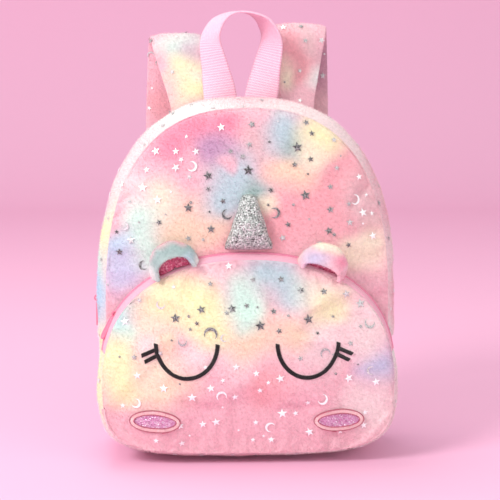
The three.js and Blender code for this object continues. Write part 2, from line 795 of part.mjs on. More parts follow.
// Lower strap: webbing from the pad's end to the corner tab, with a slide on it
function lowerStrap(side) {
  const pad = strapCurve(side);
  const start = pad.getPoint(1);
  const way = pad.getTangent(1);
  start.addScaledVector(way, GAP);
  const lead = start.clone().addScaledVector(way, WEBBING_WIDTH / 2);
  const end = new THREE.Vector3(side * TAB_X, 0, TAB_HEIGHT);
  end.y = tabFace + PLUSH + GAP + WEBBING / 2;
  const middle = lead.clone().lerp(end, 0.5);
  middle.y += STRAP_REACH * 0.05;
  const landing = new THREE.Vector3(side * TAB_X, end.y + WEBBING, TAB_HEIGHT + TAB_SIZE * 0.4);
  return new THREE.CatmullRomCurve3([start, lead, middle, landing, end], false, 'centripetal');
}

function slideGeometry() {
  const wide = SLIDE_WIDTH / 2;
  const tall = SLIDE_HEIGHT / 2;
  const bar = SLIDE_HEIGHT / 8;
  const outline = new THREE.Shape();
  outline.moveTo(-wide, -tall);
  outline.lineTo(wide, -tall);
  outline.lineTo(wide, tall);
  outline.lineTo(-wide, tall);
  for (const side of [-1, 1]) {
    const slot = new THREE.Path();
    const low = side < 0 ? -tall + bar : bar / 2;
    const high = side < 0 ? -bar / 2 : tall - bar;
    slot.moveTo(-wide + bar, low);
    slot.lineTo(-wide + bar, high);
    slot.lineTo(wide - bar, high);
    slot.lineTo(wide - bar, low);
    outline.holes.push(slot);
  }
  const slide = new THREE.ExtrudeGeometry(outline, { depth: SLIDE_THICK, bevelEnabled: false });
  return closed(slide);
}

function tabGeometry(side) {
  return sheet(2, 2, (u, v, w) => {
    const wide = mix(TAB_SIZE, WEBBING_WIDTH, v) / 2;
    const x = side * TAB_X + mix(-wide, wide, u);
    const z = mix(2 * TAB_HEIGHT - tabTop, tabTop, v);
    return { x, y: tabFace + w * PLUSH, z };
  });
}

for (const [name, side] of [['left', -1], ['right', 1]]) {
  add(`${name}_strap_pad`, ribbon(24, 4, strapCurve(side), STRAP_WIDTH, padThick, acrossX), pinkPlush);
  const lower = lowerStrap(side);
  add(`${name}_strap_webbing`, ribbon(10, 1, lower, WEBBING_WIDTH, () => WEBBING, acrossX), pinkWebbing);
  add(`${name}_corner_tab`, tabGeometry(side), pinkPlush);
  const slide = add(`${name}_strap_slide`, slideGeometry(), pinkPlastic);
  const along = lower.getTangent(SLIDE_PLACE);
  const across = acrossX().addScaledVector(along, -along.x).normalize();
  const away = new THREE.Vector3().crossVectors(across, along).normalize();
  slide.quaternion.setFromRotationMatrix(new THREE.Matrix4().makeBasis(across, along, away));
  slide.position.copy(lower.getPoint(SLIDE_PLACE)).addScaledVector(away, WEBBING / 2 + 2 * GAP);
}

export default bag;
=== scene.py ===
import math
import random

import bmesh
import bpy
from mathutils import Matrix, Quaternion, Vector, noise
from mathutils.bvhtree import BVHTree


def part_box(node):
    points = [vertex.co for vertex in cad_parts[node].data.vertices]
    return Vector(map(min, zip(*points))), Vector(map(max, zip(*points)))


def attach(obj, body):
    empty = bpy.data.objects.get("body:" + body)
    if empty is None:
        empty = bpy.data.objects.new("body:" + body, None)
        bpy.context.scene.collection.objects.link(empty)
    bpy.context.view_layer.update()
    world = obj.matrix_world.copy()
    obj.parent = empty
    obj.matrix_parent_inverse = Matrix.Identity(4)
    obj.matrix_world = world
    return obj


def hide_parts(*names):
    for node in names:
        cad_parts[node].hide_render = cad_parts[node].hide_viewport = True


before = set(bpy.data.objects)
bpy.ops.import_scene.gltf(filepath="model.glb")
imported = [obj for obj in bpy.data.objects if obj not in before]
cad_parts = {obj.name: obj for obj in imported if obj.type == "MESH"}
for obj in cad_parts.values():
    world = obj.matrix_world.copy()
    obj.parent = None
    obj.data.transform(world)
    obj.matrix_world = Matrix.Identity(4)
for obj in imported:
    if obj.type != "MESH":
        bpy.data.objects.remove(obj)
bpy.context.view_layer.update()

# Floor, light and camera. A pale sheet swept up behind the bag, a large soft light high on
# the left, weaker ones on the right, low in front and above, and a camera a little above the
# bag's middle.
scene = bpy.context.scene
MM = 0.001


def tint(code):
    """A dye's colour from its chart code, as linear light."""
    parts = [int(code[i:i + 2], 16) / 255 for i in (1, 3, 5)]
    return tuple(p / 12.92 if p <= 0.04045 else ((p + 0.055) / 1.055) ** 2.4 for p in parts) + (1,)


def put(tree, kind, feeds=None, **settings):
    """Adds a node, with its settings and what feeds its sockets."""
    step = tree.nodes.new(kind)
    for key, value in settings.items():
        setattr(step, key, value)
    for socket, value in (feeds or {}).items():
        if isinstance(value, bpy.types.NodeSocket):
            tree.links.new(value, step.inputs[socket])
        else:
            step.inputs[socket].default_value = value
    return step


def finish_of(name, **sockets):
    """A new material with its main shader, and the shader's fixed sockets."""
    material = bpy.data.materials.new(name)
    material.use_nodes = True
    shader = material.node_tree.nodes["Principled BSDF"]
    for socket, value in sockets.items():
        shader.inputs[socket.replace("_", " ")].default_value = value
    return material, material.node_tree, shader


def object_place(tree):
    return put(tree, "ShaderNodeTexCoord").outputs["Object"]


def sum_of(tree, kind, *values):
    """A sum, product or other sum of numbers in a tree."""
    return put(tree, "ShaderNodeMath", dict(enumerate(values)), operation=kind).outputs[0]


def vector_sum(tree, kind, *values, **more):
    """The same for places and directions."""
    feeds = {**dict(enumerate(values)), **more}
    return put(tree, "ShaderNodeVectorMath", feeds, operation=kind).outputs


def grain(tree, fine, detail=2.0, rough=0.5):
    """Noise all through a piece; the higher the number, the finer it is."""
    feeds = {"Vector": object_place(tree), "Scale": fine, "Detail": detail, "Roughness": rough}
    return put(tree, "ShaderNodeTexNoise", feeds).outputs


def blend(tree, share, first, second):
    """A mix of two colours by a share from 0 to 1."""
    feeds = {"Factor": share, 6: first, 7: second}
    return put(tree, "ShaderNodeMix", feeds, data_type="RGBA").outputs[2]


def spread(tree, level, low, high, bottom=0.0, top=1.0, **settings):
    """A level between low and high, moved to lie between bottom and top."""
    feeds = {"Value": level, "From Min": low, "From Max": high, "To Min": bottom, "To Max": top}
    return put(tree, "ShaderNodeMapRange", feeds, **settings).outputs[0]


def coat(tree, shader, colour, height, strength, rise, **more):
    """Gives a shader its colour and the relief of its surface."""
    tree.links.new(colour, shader.inputs["Base Color"])
    feeds = {"Height": height, "Strength": strength, "Distance": rise, **more}
    tree.links.new(put(tree, "ShaderNodeBump", feeds).outputs[0], shader.inputs["Normal"])


FLOOR_AHEAD = 3.0
FLOOR_BEHIND = 1.6
FLOOR_WIDE = 3.0
SWEEP_RADIUS = 0.5
sweep = [(-FLOOR_AHEAD, 0.0), (FLOOR_BEHIND, 0.0)]
for step in range(1, 17):
    turn = math.pi / 2 * step / 16
    sweep.append((sweep[1][0] + SWEEP_RADIUS * math.sin(turn), SWEEP_RADIUS * (1 - math.cos(turn))))
sweep.append((sweep[-1][0], 2.4))
sweep_mesh = bpy.data.meshes.new("backdrop")
sweep_mesh.from_pydata(
    [(x, y, z) for x in (-FLOOR_WIDE, FLOOR_WIDE) for y, z in sweep],
    [],
    [(i, i + len(sweep), i + len(sweep) + 1, i + 1) for i in range(len(sweep) - 1)],
)
sweep_mesh.polygons.foreach_set("use_smooth", [True] * len(sweep_mesh.polygons))
backdrop = bpy.data.objects.new("backdrop", sweep_mesh)
scene.collection.objects.link(backdrop)
paper = finish_of("pale_paper", Roughness=0.9, Base_Color=tint("#f2b7d4"))[0]
sweep_mesh.materials.append(paper)

world = bpy.data.worlds.new("soft_room")
world.use_nodes = True
room = world.node_tree.nodes["Background"].inputs
room["Color"].default_value = tint("#f6fffb")
room["Strength"].default_value = 0.7
scene.world = world


def soft_light(name, place, size, power, colour):
    lamp = bpy.data.lights.new(name, "AREA")
    lamp.shape = "DISK"
    lamp.size = size
    lamp.energy = power
    lamp.color = colour
    holder = bpy.data.objects.new(name, lamp)
    holder.location = place
    holder.rotation_euler = (Vector((0, 0, 0.14)) - Vector(place)).to_track_quat("-Z", "Y").to_euler()
    scene.collection.objects.link(holder)


soft_light("key_light", (-1.3, -1.1, 1.3), 0.8, 27, (1, 1, 0.99))
soft_light("fill_light", (1.4, -1.3, 0.9), 1.2, 6, (0.97, 1, 1))
soft_light("low_light", (-0.2, -1.6, 0.25), 1.0, 3.5, (0.96, 1, 0.97))
soft_light("top_light", (-0.3, 0.4, 1.7), 0.9, 9, (1, 1, 1))

CAMERA_TURN = -2.5
CAMERA_HEIGHT = 8.0
CAMERA_DISTANCE = 1.3
CAMERA_AIM = Vector((0, 0, 0.1563))
CAMERA_LENS = 119.6
turn, rise = math.radians(CAMERA_TURN), math.radians(CAMERA_HEIGHT)
away = Vector((math.sin(turn) * math.cos(rise), -math.cos(turn) * math.cos(rise), math.sin(rise)))
lens = bpy.data.cameras.new("camera")
lens.sensor_width = 36
lens.lens = CAMERA_LENS
lens.shift_x = 0.009
camera = bpy.data.objects.new("camera", lens)
camera.location = CAMERA_AIM + away * CAMERA_DISTANCE
camera.rotation_euler = (-away).to_track_quat("-Z", "Y").to_euler()
scene.collection.objects.link(camera)
scene.camera = camera
scene.view_settings.view_transform = "Standard"

# Main front panel. Short pile plush with a thin backing, cut to an arch, tie-dyed in soft
# clouds of colour and printed with foil stars. It is sewn to the gusset all round and domes.
BAG = "bag"
CLOTH_WALL = 2.4 * MM
HELD_FROM = 0.985

front_low, front_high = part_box("main_front_panel")
pocket_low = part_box("pocket_front_panel")[0]
back_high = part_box("back_panel")[1]


def arch(half_width, middle, top, foot, arch_power, foot_power):
    """An outline with an arch above its widest height and a squarer foot below."""
    def radius(angle, inset=0.0):
        up = math.sin(angle)
        tall, power = (top - middle, arch_power) if up >= 0 else (middle - foot, foot_power)
        share = abs(math.cos(angle) / (half_width - inset)) ** power + abs(up / (tall - inset)) ** power
        return share ** (-1 / power)

    def at(angle, share=1.0, inset=0.0):
        reach = radius(angle, inset) * share
        return math.cos(angle) * reach, middle + math.sin(angle) * reach

    def within(x, z, inset=0.0):
        angle = math.atan2(z - middle, x)
        return min(math.hypot(x, z - middle) / radius(angle, inset), 1.0), angle

    at.radius, at.within, at.middle = radius, within, middle
    return at


BODY_WIDEST = 118 * MM
SEAM_INSET = 7 * MM
FRONT_DOME = 9 * MM
panel_arch = arch(front_high[0], BODY_WIDEST, front_high[2], front_low[2], 2.5, 5.5)
front_seam = front_low[1] + FRONT_DOME


def front_face(share, angle=0.0):
    return front_seam - FRONT_DOME * (1 - share ** 4)


def front_at(x, z):
    return front_face(panel_arch.within(x, z)[0])


def link(name, mesh):
    piece = bpy.data.objects.new(name, mesh)
    scene.collection.objects.link(piece)
    return piece


INSIDE = Vector((0, 0, BODY_WIDEST))


def skin(name, points, faces, places):
    """A smooth mesh, with a map that gives each face's corners their places on the cloth."""
    mesh = bpy.data.meshes.new(name)
    mesh.from_pydata(points, [], faces)
    layer = mesh.uv_layers.new(name="cloth")
    for corner, spot in zip(layer.data, places):
        corner.uv = spot
    mesh.polygons.foreach_set("use_smooth", [True] * len(mesh.polygons))
    return mesh


def grid(name, along, across, place, loop=False, inside=INSIDE):
    """A smooth sheet of squares whose points are place(u, v), with u, v from 0 to 1, and a map of
    u and v. It faces away from the point inside."""
    last = along if loop else along + 1
    points = [place(i / along, j / across) for i in range(last) for j in range(across + 1)]
    faces, places = [], []
    for i in range(along):
        for j in range(across):
            ring = [(i, j), (i + 1, j), (i + 1, j + 1), (i, j + 1)]
            faces.append([(a % last) * (across + 1) + b for a, b in ring])
            places.extend((a / along, b / across) for a, b in ring)
    mesh = skin(name, points, faces, places)
    if sum(face.normal.dot(face.center - inside) * face.area for face in mesh.polygons) < 0:
        mesh.flip_normals()
    return link(name, mesh)


def panel_sheet(name, outline, face_at, size):
    """A domed panel whose rows are rings, closer together towards its rim."""
    def place(u, v):
        right, up = 2 * u - 1, 2 * v - 1
        ring = math.sin(max(abs(right), abs(up)) * math.pi / 2)
        angle = math.atan2(up, right)
        x, z = outline(angle, ring)
        return x, face_at(ring, angle), z
    return grid(name, size, size, place)


def settle(piece):
    """Makes the piece's modifiers part of its mesh."""
    ready = piece.evaluated_get(bpy.context.evaluated_depsgraph_get())
    mesh = bpy.data.meshes.new_from_object(ready)
    piece.modifiers.clear()
    old, piece.data = piece.data, mesh
    bpy.data.meshes.remove(old)
    return piece


def puff(piece, held, pressure, cap, steps=20):
    """Lets air fill a sewn panel: cloth held at its seams swells and creases by itself."""
    mesh = piece.data
    start = [v.co.copy() for v in mesh.vertices]
    group = piece.vertex_groups.new(name="seam")
    for i, spot in enumerate(start):
        group.add([i], held(spot), "REPLACE")
    cloth = piece.modifiers.new("cloth", "CLOTH")
    cloth.settings.vertex_group_mass = "seam"
    cloth.settings.quality = 6
    cloth.settings.mass = 0.15
    cloth.settings.tension_stiffness = 25
    cloth.settings.compression_stiffness = 25
    cloth.settings.shear_stiffness = 10
    cloth.settings.bending_stiffness = 0.8
    cloth.settings.use_pressure = True
    cloth.settings.uniform_pressure_force = pressure
    cloth.settings.shrink_min = -0.02
    cloth.settings.effector_weights.gravity = 0
    cloth.collision_settings.use_collision = False
    for step in range(1, steps + 1):
        scene.frame_set(step)
    settle(piece)
    for vertex, before in zip(piece.data.vertices, start):
        move = vertex.co - before
        if move.length > cap:
            vertex.co = before + move * (cap / move.length)
    scene.frame_set(1)
    return piece


DYE = {
    "white": "#fbfcf8", "blush": "#fbe3e4", "pink": "#f9c4cf", "rose": "#f597b1", "salmon": "#f8b3bb",
    "dusty": "#eac3c7", "peach": "#fce0c6", "cream": "#fcf1d9", "butter": "#fdfccb", "mint": "#d9f6ea",
    "aqua": "#c6f4f1", "sky": "#bfe2f4", "mist": "#c2dbe2", "lavender": "#cfd0ea", "mauve": "#c9a0c2",
    "plum": "#bb8aa0", "teal": "#a9c3bf",
}


def plush(name, ground, dyes, drift=11 * MM):
    """Tie-dyed plush: a ground dye, clouds of dye (x, y, z and reach in millimetres, dye), a
    wandering edge to each cloud, and a nap of fine fibres, with painted highlight and shade on
    the nap's tufts and painted shade at the fibres' roots and on the cloth under them."""
    material, tree, shader = finish_of(name, Roughness=0.85, Sheen_Weight=0.35, Sheen_Roughness=0.45)
    place = object_place(tree)
    wander = vector_sum(tree, "SUBTRACT", grain(tree, 22, 1.5)["Color"], (0.5, 0.5, 0.5))[0]
    wander = vector_sum(tree, "SCALE", wander, Scale=4 * drift)[0]
    moved = vector_sum(tree, "ADD", place, wander)[0]
    colour = tint(DYE[ground])
    for x, y, z, reach, dye in dyes:
        away_from = vector_sum(tree, "DISTANCE", moved, (x * MM, y * MM, z * MM))["Value"]
        reach = reach * MM
        weight = spread(tree, away_from, reach * 0.15, reach * 1.5, 0.95, 0.0,
                        interpolation_type="SMOOTHSTEP")
        colour = blend(tree, weight, colour, tint(DYE[dye]))
    # painted highlight and shade: the colour is lighter on the nap's tufts and darker between them, and
    # darker at the fibres' roots and on the cloth under them, where the tip is 0
    tufts = grain(tree, 420, 3, 0.65)["Fac"]
    pile_light_and_shade = spread(tree, tufts, 0.3, 0.72, 0.86, 1.06)
    tip = put(tree, "ShaderNodeAttribute", attribute_name="tip").outputs["Fac"]
    shade = sum_of(tree, "MULTIPLY", pile_light_and_shade, spread(tree, tip, 0.0, 1.0, 0.9, 1.08))
    colour = vector_sum(tree, "SCALE", colour, Scale=shade)[0]
    coat(tree, shader, colour, sum_of(tree, "ADD", tufts, grain(tree, 1500)["Fac"]), 0.55, 0.7 * MM)
    return material


def geometry_tree(name, inputs):
    """A Geometry Nodes tree with one mesh in and out, and the named inputs given."""
    tree = bpy.data.node_groups.new(name, "GeometryNodeTree")
    tree.interface.new_socket("Geometry", in_out="INPUT", socket_type="NodeSocketGeometry")
    for label, kind in inputs:
        tree.interface.new_socket(label, in_out="INPUT", socket_type="NodeSocket" + kind)
    tree.interface.new_socket("Geometry", in_out="OUTPUT", socket_type="NodeSocketGeometry")
    return tree, put(tree, "NodeGroupInput").outputs, put(tree, "NodeGroupOutput").inputs


def run_tree(piece, tree, values):
    """Runs a tree on a piece with the named values, and keeps the result as its mesh."""
    modifier = piece.modifiers.new(tree.name, "NODES")
    modifier.node_group = tree
    labels = {s.name: s.identifier for s in tree.interface.items_tree if s.in_out == "INPUT"}
    for label, value in values.items():
        modifier[labels[label]] = value
    return settle(piece)


pile_tree, given, result = geometry_tree("pile", [
    ("Density", "Float"), ("Length", "Float"), ("Width", "Float"), ("Seed", "Int"), ("Cloth", "Material"),
    ("Clear Of", "Object"), ("Clear By", "Float")])
scatter = put(pile_tree, "GeometryNodeDistributePointsOnFaces", {
    "Mesh": given["Geometry"], "Density": given["Density"], "Seed": given["Seed"]})
printed = put(pile_tree, "GeometryNodeObjectInfo", {"Object": given["Clear Of"]})
nearest = put(pile_tree, "GeometryNodeProximity", {0: printed.outputs["Geometry"]},
              target_element="FACES")
close = put(pile_tree, "FunctionNodeCompare", {0: nearest.outputs["Distance"], 1: given["Clear By"]},
            operation="LESS_THAN")
pressed = put(pile_tree, "FunctionNodeBooleanMath", {0: close.outputs[0], 1: nearest.outputs["Is Valid"]},
              operation="AND")
standing = put(pile_tree, "GeometryNodeDeleteGeometry", {
    0: scatter.outputs["Points"], "Selection": pressed.outputs[0]}, domain="POINT")
blade = put(pile_tree, "GeometryNodeMeshCone", {
    "Vertices": 3, "Side Segments": 1, "Radius Top": 0.0, "Radius Bottom": 0.5, "Depth": 1.0},
    fill_type="NONE")
# each blade's height from root to tip, which the plush turns into painted shade at the roots
blade_place = put(pile_tree, "GeometryNodeInputPosition").outputs[0]
height = put(pile_tree, "ShaderNodeSeparateXYZ", {0: blade_place})
blade = put(pile_tree, "GeometryNodeStoreNamedAttribute", {
    "Geometry": blade.outputs["Mesh"], "Name": "tip", "Value": height.outputs["Z"]}, data_type="FLOAT")
lean = put(pile_tree, "FunctionNodeRandomValue", {0: (-0.7, -0.7, 0.0), 1: (0.7, 0.7, 6.28)},
           data_type="FLOAT_VECTOR")
lean = put(pile_tree, "FunctionNodeEulerToRotation", {0: lean.outputs[0]})
turned = put(pile_tree, "FunctionNodeRotateRotation", {
    0: scatter.outputs["Rotation"], 1: lean.outputs[0]}, rotation_space="LOCAL")
long = put(pile_tree, "FunctionNodeRandomValue", {2: 0.6, 3: 1.2})
tall = sum_of(pile_tree, "MULTIPLY", long.outputs[1], given["Length"])
girth = put(pile_tree, "ShaderNodeCombineXYZ", {0: given["Width"], 1: given["Width"], 2: tall})
planted = put(pile_tree, "GeometryNodeInstanceOnPoints", {
    "Points": standing.outputs[0], "Instance": blade.outputs[0],
    "Rotation": turned.outputs[0], "Scale": girth.outputs[0]})
real = put(pile_tree, "GeometryNodeRealizeInstances", {0: planted.outputs[0]})
dyed = put(pile_tree, "GeometryNodeSetMaterial", {
    "Geometry": real.outputs[0], "Material": given["Cloth"]})
pile_tree.links.new(dyed.outputs[0], result[0])


PILE_LENGTH = 1.5 * MM
PILE_WIDTH = 0.34 * MM


def grow_pile(piece, name, cloth, per_mm2, seed, clear_of=(), length=PILE_LENGTH, width=PILE_WIDTH):
    """Plants the plush's fibres on a copy of a piece's face, clear of what is printed or stitched
    on it, and returns them as one piece."""
    tufts = link(name, piece.data.copy())
    thin = 1.0
    pressed = joined_copy(clear_of)
    run_tree(tufts, pile_tree, {
        "Density": per_mm2 * thin / MM ** 2, "Length": length, "Width": width, "Seed": seed,
        "Cloth": cloth, "Clear Of": pressed, "Clear By": 1.15 * MM})
    bpy.data.objects.remove(pressed)
    return tufts


def joined_copy(pieces):
    """One mesh, kept out of the scene, of several pieces' meshes."""
    shape = bmesh.new()
    for piece in pieces:
        shape.from_mesh(piece.data)
    mesh = bpy.data.meshes.new("pressed_pile")
    shape.to_mesh(mesh)
    shape.free()
    return bpy.data.objects.new("pressed_pile", mesh)


def sewn(piece, slot, *nodes):
    """Rides on the bag and stands for CAD nodes, which it hides; its slot is not used."""
    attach(piece, BAG)
    if nodes:
        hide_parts(*nodes)
    return piece


def back_with_wall(piece, cloth, wall=CLOTH_WALL, side=-1):
    """Gives a face its cloth and its thickness, inwards, or on both sides when side is 0."""
    piece.data.materials.clear()
    piece.data.materials.append(cloth)
    solid = piece.modifiers.new("wall", "SOLIDIFY")
    solid.thickness = wall
    solid.offset = side
    return piece


def plush_sheet(piece, pile_name, cloth, per_mm2, seed, slot, node, flat, pressed=(),
                wall=CLOTH_WALL):
    """Finishes a sewn sheet of plush: its pile, its thickness and what it stands for; its flat size is
    not used.
    """
    pile = grow_pile(piece, pile_name, cloth, per_mm2, seed, pressed)
    back_with_wall(piece, cloth, wall)
    sewn(piece, slot, node)
    sewn(pile, slot)


set_tree, given, result = geometry_tree("set_on_spots", [("Piece", "Object"), ("Finish", "Material")])
turns = put(set_tree, "GeometryNodeInputNamedAttribute", {"Name": "turn"}, data_type="FLOAT_VECTOR")
sizes = put(set_tree, "GeometryNodeInputNamedAttribute", {"Name": "size"}, data_type="FLOAT_VECTOR")
tones = put(set_tree, "GeometryNodeInputNamedAttribute", {"Name": "tone"}, data_type="FLOAT")
source = put(set_tree, "GeometryNodeObjectInfo", {"Object": given["Piece"]})
spots = put(set_tree, "GeometryNodeMeshToPoints", {"Mesh": given["Geometry"]})
placed = put(set_tree, "GeometryNodeInstanceOnPoints", {
    "Points": spots.outputs[0], "Instance": source.outputs["Geometry"],
    "Rotation": turns.outputs[0], "Scale": sizes.outputs[0]})
toned = put(set_tree, "GeometryNodeStoreNamedAttribute", {
    "Geometry": placed.outputs[0], "Name": "tone", "Value": tones.outputs[0]},
    data_type="FLOAT", domain="INSTANCE")
real = put(set_tree, "GeometryNodeRealizeInstances", {0: toned.outputs[0]})
dressed = put(set_tree, "GeometryNodeSetMaterial", {
    "Geometry": real.outputs[0], "Material": given["Finish"]})
set_tree.links.new(dressed.outputs[0], result[0])


def set_on_spots(name, spots, pattern, finish):
    """Sets a copy of the pattern on each spot: (place, along, out, size, tone). The pattern's X
    goes along and its Z out."""
    mesh = bpy.data.meshes.new(name)
    mesh.from_pydata([spot[0] for spot in spots], [], [])
    for label, kind in (("turn", "FLOAT_VECTOR"), ("size", "FLOAT_VECTOR"), ("tone", "FLOAT")):
        mesh.attributes.new(label, kind, "POINT")
    for i, (place, along, out, size, tone) in enumerate(spots):
        out = out.normalized()
        side = out.cross(along).normalized()
        frame_of = Matrix((side.cross(out), side, out)).transposed()
        mesh.attributes["turn"].data[i].vector = frame_of.to_euler()
        mesh.attributes["size"].data[i].vector = size
        mesh.attributes["tone"].data[i].value = tone
    return run_tree(link(name, mesh), set_tree, {"Piece": pattern, "Finish": finish})


def pattern_of(name, points, faces):
    """A small mesh to set on spots, kept out of the scene."""
    mesh = bpy.data.meshes.new(name)
    mesh.from_pydata(points, [], faces)
    return bpy.data.objects.new(name, mesh)


def foil(name):
    """Hot-pressed foil whose brightness is painted: each piece's tone is a painted reflection, bright
    where it faces the light and dull where it doesn't, broken up a little by a painted mottle, as
    by the nap under it."""
    material, tree, shader = finish_of(name, Metallic=0.2, Roughness=0.35)
    # painted reflection: the tone set on each piece runs the foil's colour from near black to white
    tone = put(tree, "ShaderNodeAttribute", attribute_name="tone").outputs["Fac"]
    mottle = grain(tree, 1300)["Fac"]
    level = sum_of(tree, "ADD", tone, spread(tree, mottle, 0.35, 0.65, -0.22, 0.22))
    coat(tree, shader, blend(tree, level, tint("#39383a"), tint("#ffffff")), mottle, 0.5, 0.2 * MM)
    return material


def star_points():
    rim = [(math.sin(math.pi * i / 5) * far, math.cos(math.pi * i / 5) * far, 0.0)
           for i, far in enumerate([0.5, 0.21] * 5)]
    return rim + [(0.0, 0.0, 0.05)], [(i, 10, (i + 1) % 10) for i in range(10)]


def moon_points():
    def bow(middle, radius, first, step):
        turns = [math.radians(first + step * i) for i in range(11)]
        return [(middle + radius * math.cos(t), radius * math.sin(t), 0.0) for t in turns]

    outer, inner = bow(0.0, 0.5, 50, 26), bow(0.13, 0.4, 66, 22.8)
    return outer + inner, [(i, i + 1, i + 12, i + 11) for i in range(10)]


star_pattern = pattern_of("star", *star_points())
moon_pattern = pattern_of("moon", *moon_points())
foil_print = foil("silver_foil")
FOIL_RISE = 0.9 * MM
LOOK_FROM = -0.2


def foil_spot(spot, facing, size, lean, tone):
    """A place for a foil piece on cloth, turned by lean degrees about the way the cloth faces."""
    up = Vector((0, 0, 1)) if abs(facing.z) < 0.95 else Vector((0, 1, 0))
    along = up.cross(facing).normalized()
    along.rotate(Quaternion(facing, math.radians(lean)))
    size = 1.14 * size
    return spot + facing * FOIL_RISE, along, facing, Vector((size, size, size)), tone


def print_foil(name, stars, moons):
    """Presses stars and moons on cloth, as two pieces that ride with it."""
    pieces = []
    for label, spots, pattern in (("_stars", stars, star_pattern), ("_moons", moons, moon_pattern)):
        if spots:
            piece = set_on_spots(name + label, spots, pattern, foil_print)
            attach(piece, BAG)
            pieces.append(piece)
    return pieces


def surface_of(piece):
    return BVHTree.FromPolygons(
        [v.co for v in piece.data.vertices], [p.vertices for p in piece.data.polygons])


def seen_on(tree, x, z):
    """The cloth at a place of the front: the spot, or none, and the way it faces."""
    spot, facing, face, far = tree.ray_cast(Vector((x, LOOK_FROM, z)), Vector((0, 1, 0)))
    if spot is None or facing.y < 0:
        return spot, facing
    return spot, -facing


def charted(tree, chart):
    """Spots of a chart of x, z, size in millimetres, lean and tone, on cloth seen from the front."""
    spots = []
    for x, z, size, lean, tone in chart:
        spot, facing = seen_on(tree, x * MM, z * MM)
        if spot is not None:
            spots.append(foil_spot(spot, facing, size * MM, lean, tone))
    return spots


def scattered(piece, count, seed, apart=11 * MM, sizes=(2.2, 6.0), tones=(0.25, 1.0), near=(), keep=None):
    """Foil at random on a piece's cloth, no two closer than apart: stars, and one moon in seven."""
    draw = random.Random(seed)
    mesh = piece.data
    areas = [face.area for face in mesh.polygons]
    taken = [spot[0] for spot in near]
    stars, moons = [], []
    order = draw.choices(range(len(areas)), areas, k=count * 12)
    for index in order:
        face = mesh.polygons[index]
        spot = face.center
        if len(stars) + len(moons) >= count:
            break
        if (keep and not keep(spot)) or any((spot - other).length < apart for other in taken):
            continue
        taken.append(spot + Vector(face.normal) * FOIL_RISE)
        size = draw.uniform(*sizes) * MM
        lean = draw.uniform(0, 360)
        # the tone, drawn at random, is the piece's painted reflection
        placed = foil_spot(spot.copy(), face.normal.copy(), size, lean, draw.uniform(*tones))
        if draw.random() < 0.14:
            moons.append(placed)
        else:
            stars.append(placed)
    return stars, moons


# x, y, z and reach in millimetres, and the dye
FRONT_DYES = [
    (60, -42, 205, 50, "salmon"), (94, -42, 195, 26, "dusty"), (-60, -42, 226, 34, "pink"),
    (-92, -42, 214, 14, "blush"), (20, -42, 176, 24, "salmon"), (-25, -42, 166, 18, "salmon"),
    (-8, -42, 262, 22, "pink"), (10, -42, 243, 16, "dusty"), (-45, -42, 180, 24, "peach"),
    (-70, -42, 198, 18, "cream"), (-88, -42, 196, 14, "blush"), (-24, -42, 178, 16, "peach"),
    (-80, -42, 178, 20, "mint"), (-100, -42, 164, 16, "sky"), (-94, -42, 146, 20, "lavender"),
    (-70, -42, 158, 16, "mint"), (-8, -42, 215, 24, "mist"), (-20, -42, 198, 17, "mist"),
    (6, -42, 207, 12, "teal"), (14, -42, 194, 10, "cream"), (32, -42, 222, 18, "peach"),
    (30, -42, 252, 18, "mist"), (38, -42, 240, 12, "teal"), (58, -42, 248, 18, "butter"),
    (50, -42, 234, 14, "cream"), (92, -42, 162, 20, "cream"), (76, -42, 158, 14, "cream"),
    (-38, -42, 254, 22, "rose"), (-16, -42, 260, 14, "rose"), (-58, -42, 240, 16, "rose"),
    (-24, -42, 238, 15, "mauve"), (-16, -42, 226, 6, "pink"),
]
front_plush = plush("front_plush", "pink", FRONT_DYES, 8 * MM)

main_front = panel_sheet("main_front", panel_arch, front_face, 90)
puff(main_front, lambda at: 1.0 if panel_arch.within(at.x, at.z)[0] > HELD_FROM else 0.0, 1.6, 3 * MM)
front_tree = surface_of(main_front)
